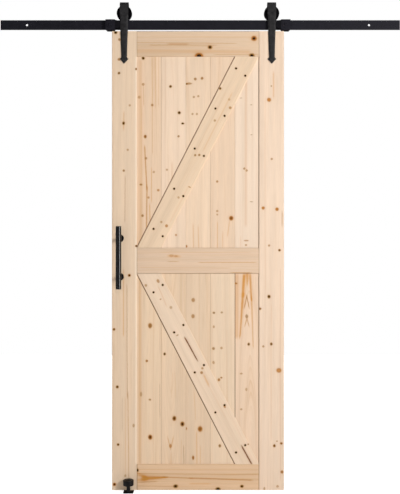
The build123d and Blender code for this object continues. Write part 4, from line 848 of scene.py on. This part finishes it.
class DOOR_OT_track(bpy.types.Operator):
    """Coat the track and stops, wax the hangers, and blacken the wheels and the guide's plate"""

    bl_idname = "barn_door.track"
    bl_label = "Track and hangers"

    def execute(self, context):
        metal = context.scene.barn_door.metal
        # powder-coated steel: a satin black skin with a fine pebbled grain that breaks up highlights
        coat = plain("powder_coated_steel", metal.powder_coat, 0.6, metal.grit, 0.00008, 0.12, **skin(0.06))
        stops = [f"{side}_stop_{part}" for side in ("left", "right") for part in ("clip", "screw")]
        paint(coat, "track_rail", "track_spacers", *stops)
        # blackened steel under wax: warmer, cloudy and slightly streaked, so its faces look worn in
        iron = plain("waxed_black_steel", metal.waxed, 0.5, 0.002, 0.00006, 0.3, 0.014, **skin(0.06))
        bolts = ("left_axle_bolt", "right_axle_bolt")
        paint(iron, "left_hanger_strap", "right_hanger_strap", "strap_screws", *bolts)
        # oil-blackened turned steel: near-black, its tool marks too fine to see from a step away
        oiled = plain("blackened_turned_steel", metal.enamel, 0.5, 0.0012, 0.00004, **skin(0.03))
        paint(oiled, "guide_base", "left_wheel", "right_wheel")
        for name, rods, nuts, radius, pitch in (
            ("strap_screw_threads", ("strap_screws",), "strap_nuts", 3 * MM, 1.0 * MM),
            ("axle_threads", bolts, "left_axle_nut", 6 * MM, 1.75 * MM),
        ):
            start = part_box(nuts)[1][1]
            tails = [
                ((low[0] + high[0]) / 2, (low[2] + high[2]) / 2, radius, start, high[1] - THREAD_END)
                for rod in rods
                for low, high in solids(rod)
            ]
            surface(name, thread(tails, pitch), iron, "door")
        return {"FINISHED"}


class DOOR_OT_handle(bpy.types.Operator):
    """Enamel the pull handle and the floor guide's roller, pillar and cap"""

    bl_idname = "barn_door.handle"
    bl_label = "Handle and floor guide"

    def execute(self, context):
        metal = context.scene.barn_door.metal
        # stoved enamel on steel: near-black and smooth, so lamps show as clean lines along it
        enamel = plain("stoved_enamel", metal.enamel, 0.2, 0.02, 0.00001, 0.05, **skin(0.5))
        ends = [f"{half}_handle_{part}" for half in ("lower", "upper") for part in ("post", "rose")]
        paint(enamel, "handle_bar", *ends)
        # the same enamel, rubbed dull by the door
        worn = plain("rubbed_enamel", metal.enamel, 0.42, 0.01, 0.00002, **skin(0.25))
        paint(worn, "guide_roller", "guide_pillar", "guide_cap_screw")
        return {"FINISHED"}


class DOOR_OT_small_parts(bpy.types.Operator):
    """Finish the bumpers, bushes, pad and fasteners"""

    bl_idname = "barn_door.small_parts"
    bl_label = "Small parts"

    def execute(self, context):
        # moulded rubber: dead black with a dull, slightly uneven skin
        rubber = plain("moulded_rubber", linear("111014"), 0.75, 0.0015, 0.00006, **skin(0.06))
        paint(rubber, "left_stop_bumper", "right_stop_bumper")
        # moulded nylon: black with a faint waxy gloss
        nylon = plain("moulded_nylon", linear("171717"), 0.45, 0.0010, 0.00003, IOR=1.53)
        paint(nylon, "guide_pad")
        # sintered bronze: dull brown-gold with a fine open grain
        bronze = plain("sintered_bronze", linear("a37c4a"), 0.42, 0.0006, 0.00004, Metallic=1.0)
        paint(bronze, "left_wheel_bush", "right_wheel_bush")
        # bright zinc plate on steel: pale grey with a soft sheen
        zinc = plain("zinc_plated_steel", linear("c4c7ca"), 0.32, 0.0008, 0.00002, Metallic=1.0)
        axles = [f"{side}_axle_{part}" for side in ("left", "right") for part in ("washers", "nut")]
        paint(zinc, "strap_washers", "strap_nuts", "handle_screws", *axles)
        # black oxide on steel screws: a thin dark brown-black film
        oxide = plain("black_oxide_steel", linear("1c1008"), 0.7, 0.0006, 0.00002, **skin(0.02))
        paint(oxide, "upper_brace_screws", "lower_brace_screws")
        for half in ("upper", "lower"):
            heads = solids(f"{half}_brace_screws")
            sheets = screw_faces(heads, dome=0.5 * MM, pit=0.5 * MM, arm=0.13, arm_length=0.62)
            surface(f"{half}_brace_screw_faces", sheets, oxide, "door")
        return {"FINISHED"}


def lamp(name, place, target, power, width, height):
    """A soft rectangular lamp aimed at a point."""
    data = bpy.data.lights.new(name, "AREA")
    data.shape = "RECTANGLE"
    data.size, data.size_y, data.energy = width, height, power
    light = bpy.data.objects.new(name, data)
    light.location = place
    aim = np.array(target, float) - np.array(place, float)
    light.rotation_euler = (math.atan2(math.hypot(aim[0], aim[1]), -aim[2]), 0, math.atan2(-aim[0], aim[1]))
    bpy.context.scene.collection.objects.link(light)
    return light


class DOOR_OT_stage(bpy.types.Operator):
    """Add the camera, the lamps, the floor and the white surround"""

    bl_idname = "barn_door.stage"
    bl_label = "Stage"

    def execute(self, context):
        scene = context.scene
        stage = scene.barn_door.stage
        camera = bpy.data.objects.new("camera", bpy.data.cameras.new("camera"))
        scene.collection.objects.link(camera)
        scene.camera = camera
        camera.location = (EYE_X * MM, -EYE_BACK * MM, EYE_Z * MM)
        camera.rotation_euler = (math.pi / 2, 0, 0)
        camera.data.sensor_width = SENSOR
        camera.data.lens = SENSOR * LENS_PX / PICTURE_LONG

        for name, place, target, width, height, hidden in LAMPS:
            light = lamp(name, place, (0, 0, target), getattr(stage, f"{name}_power"), width, height)
            if hidden:
                setattr(light, hidden, False)

        # white matt paint: even and pale, and it keeps the door's shadow
        material, tree = started("white_matt_paint")
        seen = add(tree, "ShaderNodeLightPath", output="Is Camera Ray")
        matt = add(tree, "ShaderNodeBsdfDiffuse", {"Color": rgba(stage.floor)})
        glow = add(tree, "ShaderNodeEmission", {"Strength": math_node(tree, "MULTIPLY", seen, FLOOR_GLOW)})
        finished(tree, add(tree, "ShaderNodeAddShader", {0: matt, 1: glow}))
        mesh = bpy.data.meshes.new("floor")
        mesh.from_pydata(FLOOR_CORNERS, [], [(0, 1, 2, 3)])
        mesh.materials.append(material)
        floor = bpy.data.objects.new("floor", mesh)
        scene.collection.objects.link(floor)

        world = bpy.data.worlds.new("white_surround")
        scene.world = world
        world.use_nodes = True
        tree = world.node_tree
        tree.nodes.clear()
        seen = add(tree, "ShaderNodeLightPath", output="Is Camera Ray")
        strength = ramp(tree, seen, 0, 1, SURROUND, 1.0)
        glow = add(tree, "ShaderNodeBackground", {"Color": (1, 1, 1, 1), "Strength": strength})
        output = tree.nodes.new("ShaderNodeOutputWorld")
        tree.links.new(glow, output.inputs[0])
        scene.view_settings.view_transform = "Standard"
        return {"FINISHED"}


STEPS = ("boards", "track", "handle", "small_parts", "stage")


class DOOR_PT_panel(bpy.types.Panel):
    """The door's settings and steps."""

    bl_idname = "DOOR_PT_panel"
    bl_label = "Sliding barn door"
    bl_space_type = "VIEW_3D"
    bl_region_type = "UI"
    bl_category = "Door"

    def draw(self, context):
        settings = context.scene.barn_door
        for group in (settings.boards, settings.metal, settings.stage):
            box = self.layout.box()
            for name in group.__annotations__:
                box.prop(group, name)
        for step in STEPS:
            self.layout.operator(f"barn_door.{step}")


CLASSES = (
    BoardSettings, MetalSettings, StageSettings, DoorSettings,
    DOOR_OT_boards, DOOR_OT_track, DOOR_OT_handle, DOOR_OT_small_parts, DOOR_OT_stage, DOOR_PT_panel,
)


def register():
    for cls in CLASSES:
        bpy.utils.register_class(cls)
    bpy.types.Scene.barn_door = bpy.props.PointerProperty(type=DoorSettings)


def unregister():
    del bpy.types.Scene.barn_door
    for cls in reversed(CLASSES):
        bpy.utils.unregister_class(cls)


def main():
    """Run every step."""
    register()
    for step in STEPS:
        getattr(bpy.ops.barn_door, step)()


if __name__ == "__main__":
    main()
